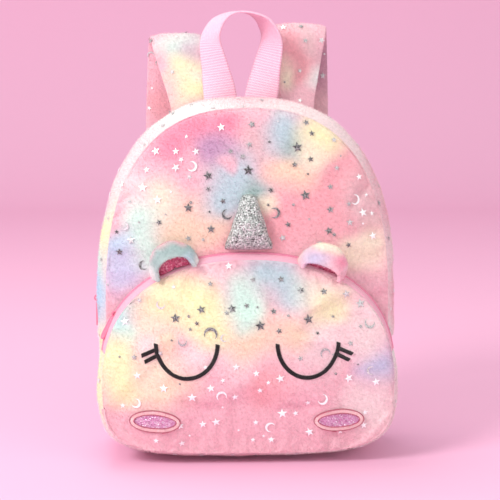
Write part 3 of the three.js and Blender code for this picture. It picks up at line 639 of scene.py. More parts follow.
# what shows on the front: x, z and size in millimetres, lean in degrees, tone from dark to bright, the
# foil's painted reflection
FRONT_STARS = [
    (-20, 255, 5.7, 10, 1.0), (-69, 237, 6.0, 20, 1.0), (-54, 237, 4.8, 5, 1.0),
    (-39, 237, 5.2, 15, 0.85), (-50, 231, 4.0, 40, 0.9), (-54, 225, 6.0, 30, 0.8),
    (-76, 223, 4.4, 10, 1.0), (-44, 218, 4.2, 50, 0.6), (-79, 210, 6.8, 0, 1.0),
    (-58, 207, 2.0, 0, 1.0), (-68, 201, 6.2, 5, 1.0), (-30, 219, 6.6, 15, 0.1),
    (-30, 209, 3.8, 30, 0.2), (-13, 237, 4.2, 20, 0.35), (-4, 233, 4.6, 40, 0.35),
    (0, 223, 7.4, 0, 0.05), (1, 242, 4.6, 10, 0.35), (-19, 200, 4.4, 20, 0.1), (-29, 192, 2.4, 0, 0.1),
    (-28, 179, 6.2, 0, 0.15), (-45, 195, 6.6, 0, 0.1), (-43, 199, 3.2, 30, 0.2),
    (-67, 184, 4.6, 25, 0.2), (-99, 176, 3.4, 0, 0.1), (-88, 170, 6.2, 10, 0.6),
    (-97, 161, 5.6, 0, 0.1), (-45, 172, 4.4, 20, 0.35), (-34, 171, 3.0, 0, 0.4),
    (-46, 248, 2.6, 0, 1.0), (-89, 199, 3.6, 30, 0.5), (3, 257, 5.4, 20, 0.3), (16, 244, 2.6, 0, 0.15),
    (37, 240, 7.4, 8, 0.1), (44, 258, 4.6, 20, 0.2), (48, 250, 4.4, 0, 0.15), (47, 231, 4.4, 10, 0.1),
    (35, 227, 4.4, 0, 0.15), (45, 220, 2.2, 0, 0.15), (17, 208, 4.2, 25, 0.1), (43, 204, 7.4, 12, 0.15),
    (62, 210, 4.4, 5, 0.3), (67, 224, 4.2, 0, 0.5), (65, 245, 4.2, 0, 0.55), (84, 217, 4.6, 10, 1.0),
    (76, 197, 4.2, 0, 0.45), (87, 190, 6.4, 10, 1.0), (94, 189, 3.6, 0, 1.0), (62, 193, 5.4, 10, 0.25),
    (34, 197, 3.0, 20, 0.3), (15, 197, 2.6, 30, 0.1), (30, 182, 4.4, 10, 0.15), (26, 172, 5.0, 20, 0.5),
    (46, 186, 2.2, 0, 0.4), (61, 177, 6.0, 15, 0.15), (65, 174, 3.6, 5, 0.25), (77, 183, 5.2, 0, 0.5),
    (76, 166, 4.2, 20, 0.1), (95, 172, 6.0, 10, 1.0), (90, 203, 3.0, 0, 0.8), (87, 182, 2.2, 0, 0.9),
    (-103, 189, 3.2, 0, 0.3), (-82, 184, 2.2, 0, 0.4), (-62, 190, 1.8, 0, 0.3), (70, 233, 1.8, 0, 0.4),
]
FRONT_MOONS = [
    (-42, 226, 6.8, 160, 0.9), (-16, 190, 7.0, 35, 0.1), (-93, 181, 6.0, 150, 0.7),
    (-79, 151, 6.4, 20, 0.2), (81, 200, 7.0, 160, 1.0), (20, 191, 7.2, 185, 0.15),
    (54, 166, 5.4, 200, 0.55),
]
front_stars = charted(front_tree, FRONT_STARS)
front_moons = charted(front_tree, FRONT_MOONS)
front_specks = scattered(
    main_front, 14, 71, 13 * MM, (1.6, 2.8), (0.2, 0.8), front_stars + front_moons)[0]
front_foil = print_foil("main_front", front_stars + front_specks, front_moons)
plush_sheet(main_front, "main_front_pile", front_plush, 0.75, 11, "plush_body", "main_front_panel",
            (0.222, 0.268), front_foil)

# Back panel. The same arch of plush, nearly flat, with the straps and the handle sewn on it.
BACK_DYES = [
    (-60, 36, 60, 50, "peach"), (40, 36, 90, 50, "salmon"), (-50, 36, 150, 45, "lavender"),
    (60, 36, 170, 45, "cream"), (0, 36, 210, 50, "sky"), (-50, 36, 235, 30, "butter"),
    (70, 36, 30, 40, "lavender"), (0, 36, 30, 40, "pink"), (50, 36, 240, 30, "rose"),
    (0, 36, 130, 34, "mint"), (85, 36, 120, 30, "mint"), (-90, 36, 110, 28, "pink"),
]
back_plush = plush("back_plush", "pink", BACK_DYES)
BACK_DOME = 2 * MM
back_seam = back_high[1] - BACK_DOME


def back_face(share, angle=0.0):
    return back_seam + BACK_DOME * (1 - share ** 4)


back_panel = panel_sheet("back_panel_cloth", panel_arch, back_face, 60)
back_foil = print_foil("back_panel", *scattered(back_panel, 90, 72, 14 * MM))
plush_sheet(back_panel, "back_panel_pile", back_plush, 0.4, 12, "plush_body", "back_panel",
            (0.216, 0.262), back_foil)

# Gusset. Strips of the same plush between the panels: a puffed one in front of the zip, a
# slimmer one behind it and one under the bag from side to side, each seamed at its ends.
body_arch = arch(front_high[0] + SEAM_INSET, BODY_WIDEST, front_high[2] + SEAM_INSET, 0.0, 2.5, 5.5)
ZIP_FOOT = 92 * MM
ZIP_MIDDLE = 8 * MM
ZIP_WIDE = 11 * MM
ZIP_SUNK = 3 * MM
SEAM_GAP = 0.3 * MM
gusset_front = front_seam + SEAM_GAP
gusset_back = back_seam - SEAM_GAP


def angle_at(outline, height):
    """The angle on the left side at which an outline passes a height."""
    low, high = math.pi / 2, math.pi * 1.5
    for step in range(40):
        middle = (low + high) / 2
        if outline(middle)[1] > height:
            low = middle
        else:
            high = middle
    return low


arch_end = angle_at(body_arch, ZIP_FOOT)
arch_start = math.pi - arch_end


def pucker(x, y, z, deep, size=22 * MM):
    """Soft unevenness of sewn plush, in metres."""
    return deep * noise.noise(Vector((x, y, z)) / size)


def strip(name, along, across, start, end, section):
    """A strip round the body, from section(v) giving y and how far it sinks inside the outline."""
    def place(u, v):
        angle = start + (end - start) * u
        y, sunk = section(v, angle)
        x, z = body_arch(angle, 1.0, sunk)
        edge = math.sin(math.pi * v)
        x, z = body_arch(angle, 1.0, sunk - edge * pucker(x, y, z, 1.2 * MM))
        return x, y, max(z, 0.0)
    return grid(name, along, across, place)


# the white clouds high on the left, at x -40 and -70, are painted highlight where the light from the
# upper left falls on the gusset
GUSSET_DYES = [
    (-118, -15, 178, 34, "butter"), (-112, -15, 212, 22, "blush"), (-118, -15, 128, 30, "sky"),
    (-118, -15, 152, 14, "mint"), (-85, -15, 245, 30, "blush"), (-40, -15, 274, 34, "white"),
    (-70, -15, 258, 14, "white"), (30, -15, 274, 34, "blush"), (75, -15, 254, 30, "blush"),
    (104, -15, 222, 24, "pink"), (116, -15, 185, 26, "pink"), (118, -15, 150, 26, "blush"),
    (117, -15, 122, 22, "pink"), (-117, -40, 84, 26, "butter"), (-115, -45, 50, 26, "butter"),
    (-112, -40, 24, 26, "blush"), (-60, -40, 4, 34, "pink"), (0, -40, 2, 34, "pink"),
    (60, -40, 4, 34, "blush"), (114, -40, 84, 24, "white"), (116, -45, 56, 28, "blush"),
    (112, -40, 24, 26, "blush"), (-117, 5, 60, 30, "mint"), (117, 5, 50, 30, "lavender"),
    (60, 10, 2, 40, "peach"), (-50, 10, 2, 40, "cream"), (0, 10, 2, 30, "lavender"),
    (0, 24, 274, 50, "pink"), (-112, 25, 190, 34, "lavender"), (112, 25, 200, 34, "peach"),
    (-80, 25, 245, 26, "peach"), (90, 25, 235, 26, "rose"),
]
gusset_plush = plush("gusset_plush", "blush", GUSSET_DYES)


def front_section(v, angle):
    y = gusset_front + (ZIP_MIDDLE - ZIP_WIDE / 2 - SEAM_GAP - gusset_front) * v
    return y, SEAM_INSET + (ZIP_SUNK - SEAM_INSET) * v - 4.5 * MM * math.sin(math.pi * v)


def back_section(v, angle):
    y = ZIP_MIDDLE + ZIP_WIDE / 2 + SEAM_GAP
    y += (gusset_back - y) * v
    return y, ZIP_SUNK + (SEAM_INSET - ZIP_SUNK) * v - 3 * MM * math.sin(math.pi * v)


def bottom_section(v, angle):
    y = gusset_front + (gusset_back - gusset_front) * v
    swell = 5 * MM + 3.5 * MM * max(-math.sin(angle), 0)
    return y, SEAM_INSET - swell * math.sin(math.pi * v) ** 0.5


over = (arch_start, arch_end)
under = (arch_end, 2 * math.pi + arch_start)
for name, node, squares, ends, section, seed, flat, printed in (
        ("gusset_front", "gusset_front_strip", (220, 14), over, front_section, 21, (0.55, 0.037), 46),
        ("gusset_back", "gusset_back_strip", (200, 14), over, back_section, 22, (0.55, 0.02), 24),
        ("bottom", "bottom_gusset", (160, 28), under, bottom_section, 23, (0.36, 0.072), 44)):
    cloth = strip(name + "_cloth", *squares, *ends, section)
    pressed = print_foil(name, *scattered(cloth, printed, seed, 15 * MM))
    plush_sheet(cloth, name + "_pile", gusset_plush, 0.7, seed, "plush_gusset", node,
                flat, pressed)

# Main zip. A woven tape with moulded teeth along it, set behind the puffed gusset strip so that
# only its pull shows from the front. A coral slider runs on it, with a flat pull.
def woven(name, colour, hollow_shade_colour, rib=0.5 * MM, rough=0.75):
    """A woven tape or webbing: fine ribs across it and rows of threads along it, read off the
    piece's own map, whose first number runs along the piece and second across, in metres. Its
    colour is painted darker in the weave's hollows and lighter on its ribs: painted shade and highlight."""
    material, tree, shader = finish_of(name, Roughness=rough, Sheen_Weight=0.2, Sheen_Roughness=0.4)
    spot = put(tree, "ShaderNodeUVMap", uv_map="cloth").outputs["UV"]
    run = put(tree, "ShaderNodeSeparateXYZ", {0: spot})
    turns = 2 * math.pi / rib
    along = sum_of(tree, "SINE", sum_of(tree, "MULTIPLY", run.outputs["X"], turns))
    across = sum_of(tree, "SINE", sum_of(tree, "MULTIPLY", run.outputs["Y"], turns * 0.62))
    checks = sum_of(tree, "MULTIPLY", along, across)
    rows = sum_of(tree, "MULTIPLY", along, 0.25)
    ribs = sum_of(tree, "ADD", sum_of(tree, "MULTIPLY", checks, 0.3), rows)
    level = sum_of(tree, "ADD", ribs, grain(tree, 900)["Fac"])
    # painted shade and highlight: the colour follows the relief, darker in the hollows
    colour = blend(tree, spread(tree, level, 0.0, 1.0), tint(hollow_shade_colour), tint(colour))
    coat(tree, shader, colour, level, 0.6, 0.35 * MM)
    return material


def measured_map(piece, long, wide):
    """Stretches a sheet's map from shares of its length and its width to metres."""
    for corner in piece.data.uv_layers["cloth"].data:
        corner.uv = corner.uv[0] * long, corner.uv[1] * wide
    return piece


TAPE_WALL = 1.2 * MM
tape_cloth = woven("zip_tape_weave", "#fbc3d3", "#f2a3bc")


def cast_in(name, dark, light, fine, detail, relief, **sockets):
    """Moulded plastic or enamel, a little uneven in its colour and its skin."""
    material, tree, shader = finish_of(name, **sockets)
    mottle = grain(tree, fine, detail)["Fac"]
    coat(tree, shader, blend(tree, mottle, tint(dark), tint(light)), mottle, relief, 0.2 * MM)
    return material


teeth_plastic = cast_in("zip_teeth", "#dd7a9c", "#f0a0b9", 600, 2, 0.0, Roughness=0.35)


def zip_section(v, angle):
    return ZIP_MIDDLE + (v - 0.5) * ZIP_WIDE, ZIP_SUNK


main_tape = strip("main_zip_tape", 240, 6, arch_start, arch_end, zip_section)
measured_map(main_tape, 0.55, ZIP_WIDE)
back_with_wall(main_tape, tape_cloth, TAPE_WALL)

# one moulded tooth, narrower towards its crest, 1 in each direction until its size is set
tooth = pattern_of(
    "tooth",
    [(x * wide, y * wide, z) for z, wide in ((-0.3, 1.0), (0.5, 0.9), (1.0, 0.5)) for x, y in (
        (-0.5, -0.5), (0.5, -0.5), (0.5, 0.5), (-0.5, 0.5))],
    [(a + b, a + (b + 1) % 4, a + 4 + (b + 1) % 4, a + 4 + b) for a in (0, 4) for b in range(4)]
    + [(8, 9, 10, 11)],
)
TOOTH_STEP = 2.0 * MM


def teeth_along(name, crest, start, end, across, size):
    """Teeth in two staggered rows along a zip: crest(angle) is its middle, across(angle) its side."""
    spots = []
    angle = start
    row = 0
    while angle < end:
        here = crest(angle)
        ahead = crest(angle + 0.002)
        along = (ahead - here)
        side = across(angle).normalized()
        out = along.cross(side).normalized()
        if out.dot(here - Vector((0, 0, BODY_WIDEST))) < 0:
            out = -out
        spots.append((here + side * (size.y * 0.24 * (1 if row % 2 else -1)), along, out, size, 0.5))
        angle += 0.002 * TOOTH_STEP / 2 / along.length
        row += 1
    return set_on_spots(name, spots, tooth, teeth_plastic)


def main_crest(angle):
    x, z = body_arch(angle, 1.0, ZIP_SUNK)
    return Vector((x, ZIP_MIDDLE, z))


main_teeth = teeth_along("main_zip_teeth", main_crest, arch_start, arch_end,
                         lambda angle: Vector((0, 1, 0)), Vector((1.0, 2.6, 1.0)) * MM)
sewn(main_tape, "zip_tape", "main_zip")
sewn(main_teeth, "zip_tape")

enamel = cast_in("coral_enamel", "#dd6f8c", "#f08fa6", 220, 3, 0.1, Roughness=0.22, Coat_Weight=0.6)


def rounded_copy(name, node, finish, radius, body=BAG):
    """A CAD piece's own shape with its edges rounded."""
    piece = link(name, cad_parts[node].data.copy())
    piece.data.materials.clear()
    piece.data.materials.append(finish)
    weld = piece.modifiers.new("weld", "WELD")
    weld.merge_threshold = 0.01 * MM
    bevel = piece.modifiers.new("edges", "BEVEL")
    bevel.width = radius
    bevel.segments = 3
    bevel.limit_method = "ANGLE"
    bevel.angle_limit = math.radians(40)
    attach(piece, body)
    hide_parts(node)
    return piece


for side, body in (("main", "main_pull"), ("pocket", "pocket_pull")):
    rounded_copy(side + "_zip_slider_cast", side + "_zip_slider", enamel, 0.35 * MM)
    rounded_copy(side + "_zip_pull_cast", side + "_zip_pull", enamel, 0.4 * MM, body)

# Pocket. Its front panel is the animal's face: plush that swells from a rim it shares with the
# zip above and with a rounded gusset below, which stands it off the main panel.
POCKET_MIDDLE = 73 * MM
POCKET_WIDER = 3.5 * MM
POCKET_ZIP_FOOT = 86 * MM
zip_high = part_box("pocket_zip")[1]
pocket_arch = arch(
    front_high[0] + POCKET_WIDER, POCKET_MIDDLE, zip_high[2], front_low[2] + 1 * MM, 2.2, 4.6)
pocket_end = angle_at(pocket_arch, POCKET_ZIP_FOOT)
pocket_start = math.pi - pocket_end


def rim_depth(angle):
    """How far the rim stands off the main panel's seam."""
    return (25 - 2.5 * (1 + math.sin(angle))) * MM


def rim_drop(angle):
    """How far the rim lies inside the pocket's outline: most at the top, where the zip shows."""
    return (1 + 4 * max(math.sin(angle), 0) ** 0.5) * MM


def pocket_face(share, angle):
    rim = front_seam - rim_depth(angle)
    return pocket_low[1] + (rim - pocket_low[1]) * share ** 3


def rim_share(x, z):
    """How far out a place of the face lies, from 0 in its middle to 1 on its rim."""
    angle = math.atan2(z - POCKET_MIDDLE, x)
    return pocket_arch.within(x, z, rim_drop(angle))[0]


def pocket_side(angle, s, puffed, sunk=0.0):
    """A point of the pocket's side, s from 0 at the main panel to 1 at the pocket's rim."""
    outer, inner = pocket_arch.radius(angle), pocket_arch.radius(angle, rim_drop(angle))
    out = outer + (inner - outer) * s + puffed * math.sin(math.pi * s) - sunk
    x, z = math.cos(angle) * out, max(POCKET_MIDDLE + math.sin(angle) * out, 0.0)
    behind = front_at(x, z) - 0.45 * MM
    ahead = front_seam - rim_depth(angle) + 0.3 * MM
    return x, behind + (ahead - behind) * s, z


POCKET_DYES = [
    (0, -67, 55, 50, "pink"), (-45, -66, 40, 30, "pink"), (-62, -66, 62, 26, "peach"),
    (50, -67, 50, 34, "pink"), (0, -60, 20, 50, "pink"), (16, -66, 62, 18, "salmon"),
    (-40, -66, 84, 14, "blush"), (50, -67, 98, 32, "blush"), (-8, -67, 94, 24, "blush"),
    (0, -67, 104, 22, "peach"), (30, -67, 102, 18, "peach"), (-30, -66, 150, 14, "blush"),
    (-55, -66, 138, 14, "peach"), (-64, -66, 122, 24, "butter"), (-40, -66, 124, 18, "butter"),
    (-30, -66, 108, 18, "butter"), (-72, -65, 104, 14, "cream"), (-96, -62, 114, 17, "aqua"),
    (-88, -64, 102, 10, "mint"), (-76, -64, 92, 8, "blush"), (-60, -64, 92, 8, "peach"),
    (-104, -60, 84, 22, "butter"), (-94, -62, 66, 20, "butter"), (-72, -65, 70, 16, "cream"),
    (-100, -58, 32, 14, "pink"), (16, -66, 146, 20, "mist"), (34, -66, 138, 16, "mist"),
    (-6, -66, 130, 18, "mint"), (-2, -66, 116, 12, "mint"), (54, -66, 132, 18, "cream"),
    (72, -65, 124, 16, "cream"), (60, -66, 120, 14, "butter"), (90, -62, 112, 16, "blush"),
    (98, -60, 76, 16, "lavender"), (88, -60, 92, 14, "blush"), (92, -60, 46, 22, "blush"),
]
pocket_plush = plush("pocket_plush", "pink", POCKET_DYES, 7 * MM)


def pocket_outline(angle, share=1.0):
    return pocket_arch(angle, share, rim_drop(angle))


pocket_front = panel_sheet("pocket_front", pocket_outline, pocket_face, 90)
puff(pocket_front, lambda at: 1.0 if rim_share(at.x, at.z) > HELD_FROM else 0.0, 1.2, 2.5 * MM)
pocket_tree = surface_of(pocket_front)
# x, z and size in millimetres, lean in degrees, tone from dark to bright, the foil's painted reflection
POCKET_STARS = [
    (-93, 111, 6.2, 10, 1.0), (-55, 114, 7.2, 5, 0.15), (-45, 116, 3.2, 10, 0.2),
    (-36, 121, 6.2, 15, 0.15), (-29, 139, 4.0, 0, 0.3), (-56, 137, 4.0, 20, 0.8),
    (-82, 127, 4.2, 30, 0.6), (-44, 106, 3.0, 0, 0.2), (-39, 111, 3.8, 10, 0.15),
    (-13, 121, 6.4, 10, 0.15), (-17, 118, 3.8, 5, 0.3), (-2, 123, 4.4, 20, 0.15),
    (-58, 98, 2.4, 0, 0.1), (-67, 88, 4.4, 20, 0.6), (-86, 85, 4.6, 0, 0.4), (-84, 71, 5.4, 5, 1.0),
    (-64, 61, 6.4, 0, 1.0), (-33, 78, 3.4, 10, 0.9), (-10, 78, 5.2, 0, 0.85), (-20, 68, 3.4, 20, 1.0),
    (-29, 62, 5.6, 10, 1.0), (-43, 55, 6.8, 0, 1.0), (-11, 55, 5.2, 10, 1.0), (-95, 47, 3.8, 0, 1.0),
    (-35, 33, 5.4, 5, 1.0), (-25, 35, 6.2, 10, 1.0), (-20, 47, 2.2, 0, 1.0), (-52, 32, 5.2, 15, 0.9),
    (-45, 24, 2.2, 0, 1.0), (-70, 20, 4.2, 0, 1.0), (-51, 18, 5.0, 10, 1.0), (-8, 28, 2.2, 0, 1.0),
    (-15, 152, 5.2, 5, 1.0), (-97, 85, 2.2, 0, 0.2), (-52, 65, 2.2, 0, 0.2), (3, 142, 4.4, 15, 0.3),
    (24, 142, 4.8, 10, 0.15), (39, 134, 5.2, 25, 0.2), (56, 133, 5.2, 10, 0.2),
    (73, 131, 6.0, 15, 0.55), (84, 123, 6.8, 10, 0.5), (6, 122, 2.4, 0, 0.2), (18, 119, 4.8, 5, 0.15),
    (29, 116, 2.6, 0, 0.15), (8, 109, 7.4, 8, 0.1), (44, 113, 7.4, 10, 0.1), (22, 105, 4.6, 20, 0.2),
    (63, 114, 2.8, 10, 0.2), (51, 102, 3.2, 15, 0.15), (84, 106, 3.4, 20, 0.35),
    (76, 94, 4.4, 10, 0.45), (38, 84, 4.2, 20, 0.4), (5, 73, 4.8, 5, 1.0), (23, 69, 6.2, 15, 0.85),
    (14, 66, 3.4, 0, 1.0), (8, 60, 4.2, 5, 1.0), (75, 67, 6.4, 25, 0.9), (96, 64, 5.8, 10, 1.0),
    (44, 50, 4.2, 10, 1.0), (25, 41, 7.0, 5, 1.0), (35, 41, 4.2, 15, 0.9), (5, 34, 4.2, 0, 1.0),
    (46, 26, 6.6, 20, 1.0), (11, 23, 2.6, 0, 1.0), (17, 20, 5.0, 5, 1.0), (69, 26, 4.2, 5, 1.0),
    (87, 30, 5.0, 10, 1.0), (65, 71, 2.6, 0, 0.2), (3, 20, 3.6, 0, 1.0), (88, 40, 4.0, 5, 0.9),
    (82, 78, 2.2, 0, 0.3), (63, 86, 2.0, 0, 0.4),
]
POCKET_MOONS = [
    (-66, 124, 6.0, 60, 0.7), (-29, 103, 9.0, 260, 0.2), (-50, 97, 6.0, 80, 0.4),
    (-19, 100, 5.0, 10, 0.6), (-21, 56, 7.0, 285, 1.0), (-85, 49, 6.4, 150, 1.0),
    (91, 108, 7.0, 70, 0.4), (57, 87, 6.8, 290, 0.4), (92, 73, 6.0, 0, 0.6), (55, 52, 7.2, 140, 1.0),
    (16, 30, 7.0, 330, 1.0),
]
pocket_stars = charted(pocket_tree, POCKET_STARS)
pocket_moons = charted(pocket_tree, POCKET_MOONS)
pocket_foil = print_foil("pocket_front", pocket_stars, pocket_moons)


def pocket_gusset_place(u, v):
    angle = pocket_end + (2 * math.pi + pocket_start - pocket_end) * u
    ends = min(u, 1 - u, 0.09) / 0.09
    puffed = (1 + 2.2 * math.sin(math.pi / 2 * ends)) * MM
    x, y, z = pocket_side(angle, v, puffed)
    return pocket_side(angle, v, puffed + pucker(x, y, z, 1.2 * MM) * math.sin(math.pi * v) * ends)


pocket_gusset = grid("pocket_gusset_cloth", 170, 16, pocket_gusset_place)
gusset_foil = print_foil("pocket_gusset", *scattered(pocket_gusset, 30, 73, 15 * MM, tones=(0.6, 1.0)))
plush_sheet(pocket_gusset, "pocket_gusset_pile", gusset_plush, 0.8, 32, "plush_gusset", "pocket_gusset",
            (0.36, 0.028), gusset_foil)

# Pocket zip. The same tape and teeth run over the arch of the pocket, between the main panel
# and the face, and are its top side.
TEETH_PLACE = 0.34


def pocket_tape_place(u, v):
    return pocket_side(pocket_start + (pocket_end - pocket_start) * u, v, 1 * MM)


def pocket_crest(angle):
    return Vector(pocket_side(angle, TEETH_PLACE, 1 * MM))


def pocket_across(angle):
    return Vector(pocket_side(angle, 1, 1 * MM)) - Vector(pocket_side(angle, 0, 1 * MM))


pocket_tape = measured_map(grid("pocket_zip_tape", 220, 6, pocket_tape_place), 0.3, 0.02)
back_with_wall(pocket_tape, tape_cloth, TAPE_WALL)
pocket_teeth = teeth_along("pocket_zip_teeth", pocket_crest, pocket_start, pocket_end, pocket_across,
                           Vector((1.3, 1.9, 0.9)) * MM)
sewn(pocket_tape, "zip_tape", "pocket_zip")
sewn(pocket_teeth, "zip_tape")

# Horn. A stuffed cone of silver glitter cloth, flat where it is sewn into the middle of the
# pocket zip and rounded at its tip, leaning back against the main panel.
def glitter(name, dark, light, spark, flake=0.7 * MM, metal=0.75):
    """Glitter cloth: flakes each with its own tilt and a brightness between dark and light that is partly
    their colour and partly painted reflection, some of them painted in the spark colour as glints.
    """
    material, tree, shader = finish_of(name, Metallic=metal, Roughness=0.3)
    feeds = {"Vector": object_place(tree), "Scale": 1 / flake}
    cells = put(tree, "ShaderNodeTexVoronoi", feeds).outputs
    flake_draw = put(tree, "ShaderNodeSeparateColor", {0: cells["Color"]}).outputs
    colour = blend(tree, flake_draw[0], tint(dark), tint(light))
    # painted glints: some flakes take the spark colour
    colour = blend(tree, spread(tree, flake_draw[1], 0.82, 0.9), colour, tint(spark))
    tilt = vector_sum(tree, "SUBTRACT", cells["Color"], (0.5, 0.5, 0.5))[0]
    tilt = vector_sum(tree, "SCALE", tilt, Scale=1.1)[0]
    level = put(tree, "ShaderNodeNewGeometry").outputs["Normal"]
    facing = vector_sum(tree, "NORMALIZE", vector_sum(tree, "ADD", level, tilt)[0])[0]
    coat(tree, shader, colour, cells["Distance"], 0.4, 0.3 * MM, Normal=facing)
    return material


def between_rows(rows, key, share, column):
    """Reads a table's column at a share of its key, easing from row to row."""
    row = 0
    while row < len(rows) - 2 and rows[row + 1][key] < share:
        row += 1
    low, high = rows[row], rows[row + 1]
    part = min(max((share - low[key]) / (high[key] - low[key]), 0), 1)
    return low[column] + (high[column] - low[column]) * part


def tube(name, around, along, place):
    """A closed skin whose rings are place(u, v): u round the ring and v from end to end."""
    points = [place(i / around, j / along) for j in range(along + 1) for i in range(around)]
    faces, places = [], []
    for j in range(along):
        for i in range(around):
            ring = [(i, j), (i + 1, j), (i + 1, j + 1), (i, j + 1)]
            faces.append([b * around + a % around for a, b in ring])
            places.extend((b / along, a / around) for a, b in ring)
    for ring in (0, along):
        faces.append([ring * around + i for i in range(around)])
        places.extend([(ring / along, 0.5)] * around)
    mesh = skin(name, points, faces, places)
    shape = bmesh.new()
    shape.from_mesh(mesh)
    bmesh.ops.recalc_face_normals(shape, faces=shape.faces)
    shape.to_mesh(mesh)
    shape.free()
    return link(name, mesh)


HORN_ROWS = [
    {"up": 0.0, "wide": 0.98, "thick": 0.3}, {"up": 0.03, "wide": 1.0, "thick": 0.5},
    {"up": 0.1, "wide": 0.97, "thick": 0.68}, {"up": 0.28, "wide": 0.83, "thick": 0.88},
    {"up": 0.5, "wide": 0.66, "thick": 0.88}, {"up": 0.75, "wide": 0.47, "thick": 0.7},
    {"up": 0.9, "wide": 0.36, "thick": 0.56}, {"up": 0.97, "wide": 0.26, "thick": 0.42},
    {"up": 1.0, "wide": 0.08, "thick": 0.12},
]
horn_low, horn_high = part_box("horn")
horn_x = (horn_low[0] + horn_high[0]) / 2
HORN_HALF_THICK = 10 * MM


def horn_place(u, v):
    up = 1 - (1 - v) ** 1.3
    wide = (horn_high[0] - horn_low[0]) / 2 * between_rows(HORN_ROWS, "up", up, "wide")
    thick = HORN_HALF_THICK * between_rows(HORN_ROWS, "up", up, "thick")
    turn = 2 * math.pi * u
    x, y = horn_x + wide * math.cos(turn), math.sin(turn)
    z = horn_low[2] + up * (horn_high[2] - horn_low[2])
    dent = 1 + 0.05 * noise.noise(Vector((math.cos(turn) * 2, math.sin(turn) * 2, up * 5)))
    y = front_at(horn_x, z) - 0.3 * MM - thick + y * thick * dent
    return horn_x + (x - horn_x) * dent, y, z


# painted reflections: the silver's near-black and near-white flakes and its white glints
silver_cloth = glitter("silver_glitter_cloth", "#1f2221", "#dfe6e1", "#ffffff", 0.75 * MM, 0.0)
horn = tube("horn_glitter", 48, 44, horn_place)
horn.data.materials.append(silver_cloth)
sewn(horn, "silver_glitter", "horn")

# Ears. Each is a shell of dyed plush sewn in at the zip and cupped forwards over a half-moon
# of crimson glitter cloth. The right one nods further than the left.
EAR_WIDE = 38 * MM
EAR_TALL = 22 * MM
EAR_DEEP = 17 * MM
EAR_LIFT = 2.1 * MM
EAR_WALL = 3 * MM
EAR_BACK = math.radians(20)
EAR_RIM = math.radians(138)
EAR_SPREAD = math.radians(196)
EAR_BOTTOM = math.radians(128)
EAR_RIM_WIDE = 0.86
LINING_SPREAD = math.radians(200)
LINING_TURN = math.radians(78)
EAR_FROM_MIDDLE = 56 * MM


def ear_point(side, turn, sunk, droop):
    """A point of an ear's shell; its front rim hangs lower in the middle by the droop."""
    start = math.cos(EAR_BACK)
    deep = EAR_DEEP * (start - math.cos(turn)) / (start - math.cos(EAR_BOTTOM))
    ahead = max(turn - math.pi / 2, 0) / (EAR_RIM - math.pi / 2)
    return Vector((
        (EAR_WIDE / 2 - sunk) * (math.sin(turn) * (1 - ahead) + EAR_RIM_WIDE * ahead) * math.sin(side),
        -deep - sunk * math.cos(turn),
        (EAR_TALL - sunk) * math.sin(turn) * math.cos(side) * (1 - droop * ahead ** 1.5),
    ))


def ear_seat(middle, nod):
    """Where an ear stands on the arch of the zip, leaning with it and nodding forwards."""
    low, high = 0.0, math.pi
    for step in range(40):
        angle = (low + high) / 2
        low, high = (angle, high) if pocket_arch(angle)[0] > middle else (low, angle)
    x, z = pocket_arch(low)
    before, after = pocket_arch(low + 0.02), pocket_arch(low - 0.02)
    slope = math.atan2(after[1] - before[1], after[0] - before[0])
    seat = Matrix.Translation((x, front_at(x, z) - 0.6 * MM, z)) @ Matrix.Rotation(-slope, 4, "Y")
    return seat @ Matrix.Translation((0, 0, EAR_LIFT)) @ Matrix.Rotation(math.radians(nod), 4, "X")


# the flakes' dark and light are partly the crimson itself and partly painted reflection; the pale pink
# ones are painted glints
crimson_cloth = glitter("crimson_glitter_cloth", "#a83258", "#dc6a8c", "#ffc4d2", 0.6 * MM, 0.1)
LEFT_EAR_DYES = [
    (-61, -60, 174, 7, "salmon"), (-71, -58, 167, 7, "pink"), (-52, -60, 173, 5, "salmon"),
    (-74, -58, 150, 11, "white"), (-39, -58, 154, 8, "white"), (-58, -66, 158, 7, "mint"),
    (-48, -62, 160, 6, "mist"),
]
RIGHT_EAR_DYES = [
    (56, -58, 172, 10, "cream"), (66, -58, 168, 8, "cream"), (40, -52, 160, 10, "cream"),
    (52, -62, 156, 9, "lavender"), (60, -66, 152, 9, "blush"), (68, -64, 154, 8, "rose"),
    (75, -60, 145, 6, "white"),
]
for side, middle, nod, droop, ground, dyes in (
        ("left", -EAR_FROM_MIDDLE, 20, 0.16, "teal", LEFT_EAR_DYES),
        ("right", EAR_FROM_MIDDLE, 28, 0.5, "pink", RIGHT_EAR_DYES)):
    seat = ear_seat(middle, nod)
    ear_cloth = plush(side + "_ear_plush", ground, dyes, 6 * MM)

    def ear_place(u, v):
        spot = ear_point(EAR_SPREAD * (u - 0.5), EAR_BACK + (EAR_RIM - EAR_BACK) * v, 0, droop)
        spot += Vector((1, 1, 1)) * 0.5 * MM * noise.noise(spot / (7 * MM)) * math.sin(math.pi * v)
        return seat @ spot

    ear = grid(side + "_ear_cloth", 40, 22, ear_place, inside=seat @ Vector((0, -EAR_DEEP / 2, 0)))
    back_with_wall(ear, ear_cloth, EAR_WALL)
    ear.modifiers["wall"].use_rim = True
    round_off = ear.modifiers.new("round_off", "SUBSURF")
    round_off.levels = round_off.render_levels = 1
    settle(ear)
    fuzz = grow_pile(ear, side + "_ear_pile", ear_cloth, 0.9, 41, (), 1.1 * MM, 0.3 * MM)
    sewn(ear, "plush_ears", side + "_ear")
    sewn(fuzz, "plush_ears")

    def lining_place(u, v):
        edge = ear_point(LINING_SPREAD * (u - 0.5), LINING_TURN, EAR_WALL + 0.2 * MM, 0)
        share = 0.05 + 0.95 * v
        bulge = 2.5 * MM * (1 - share ** 2)
        return seat @ Vector((edge.x * share, edge.y - bulge, edge.z * share))

    lining = grid(side + "_ear_lining_cloth", 32, 10, lining_place)
    lining.data.materials.append(crimson_cloth)
    back_with_wall(lining, crimson_cloth, 0.9 * MM)
    sewn(lining, "crimson_glitter", side + "_ear_lining")

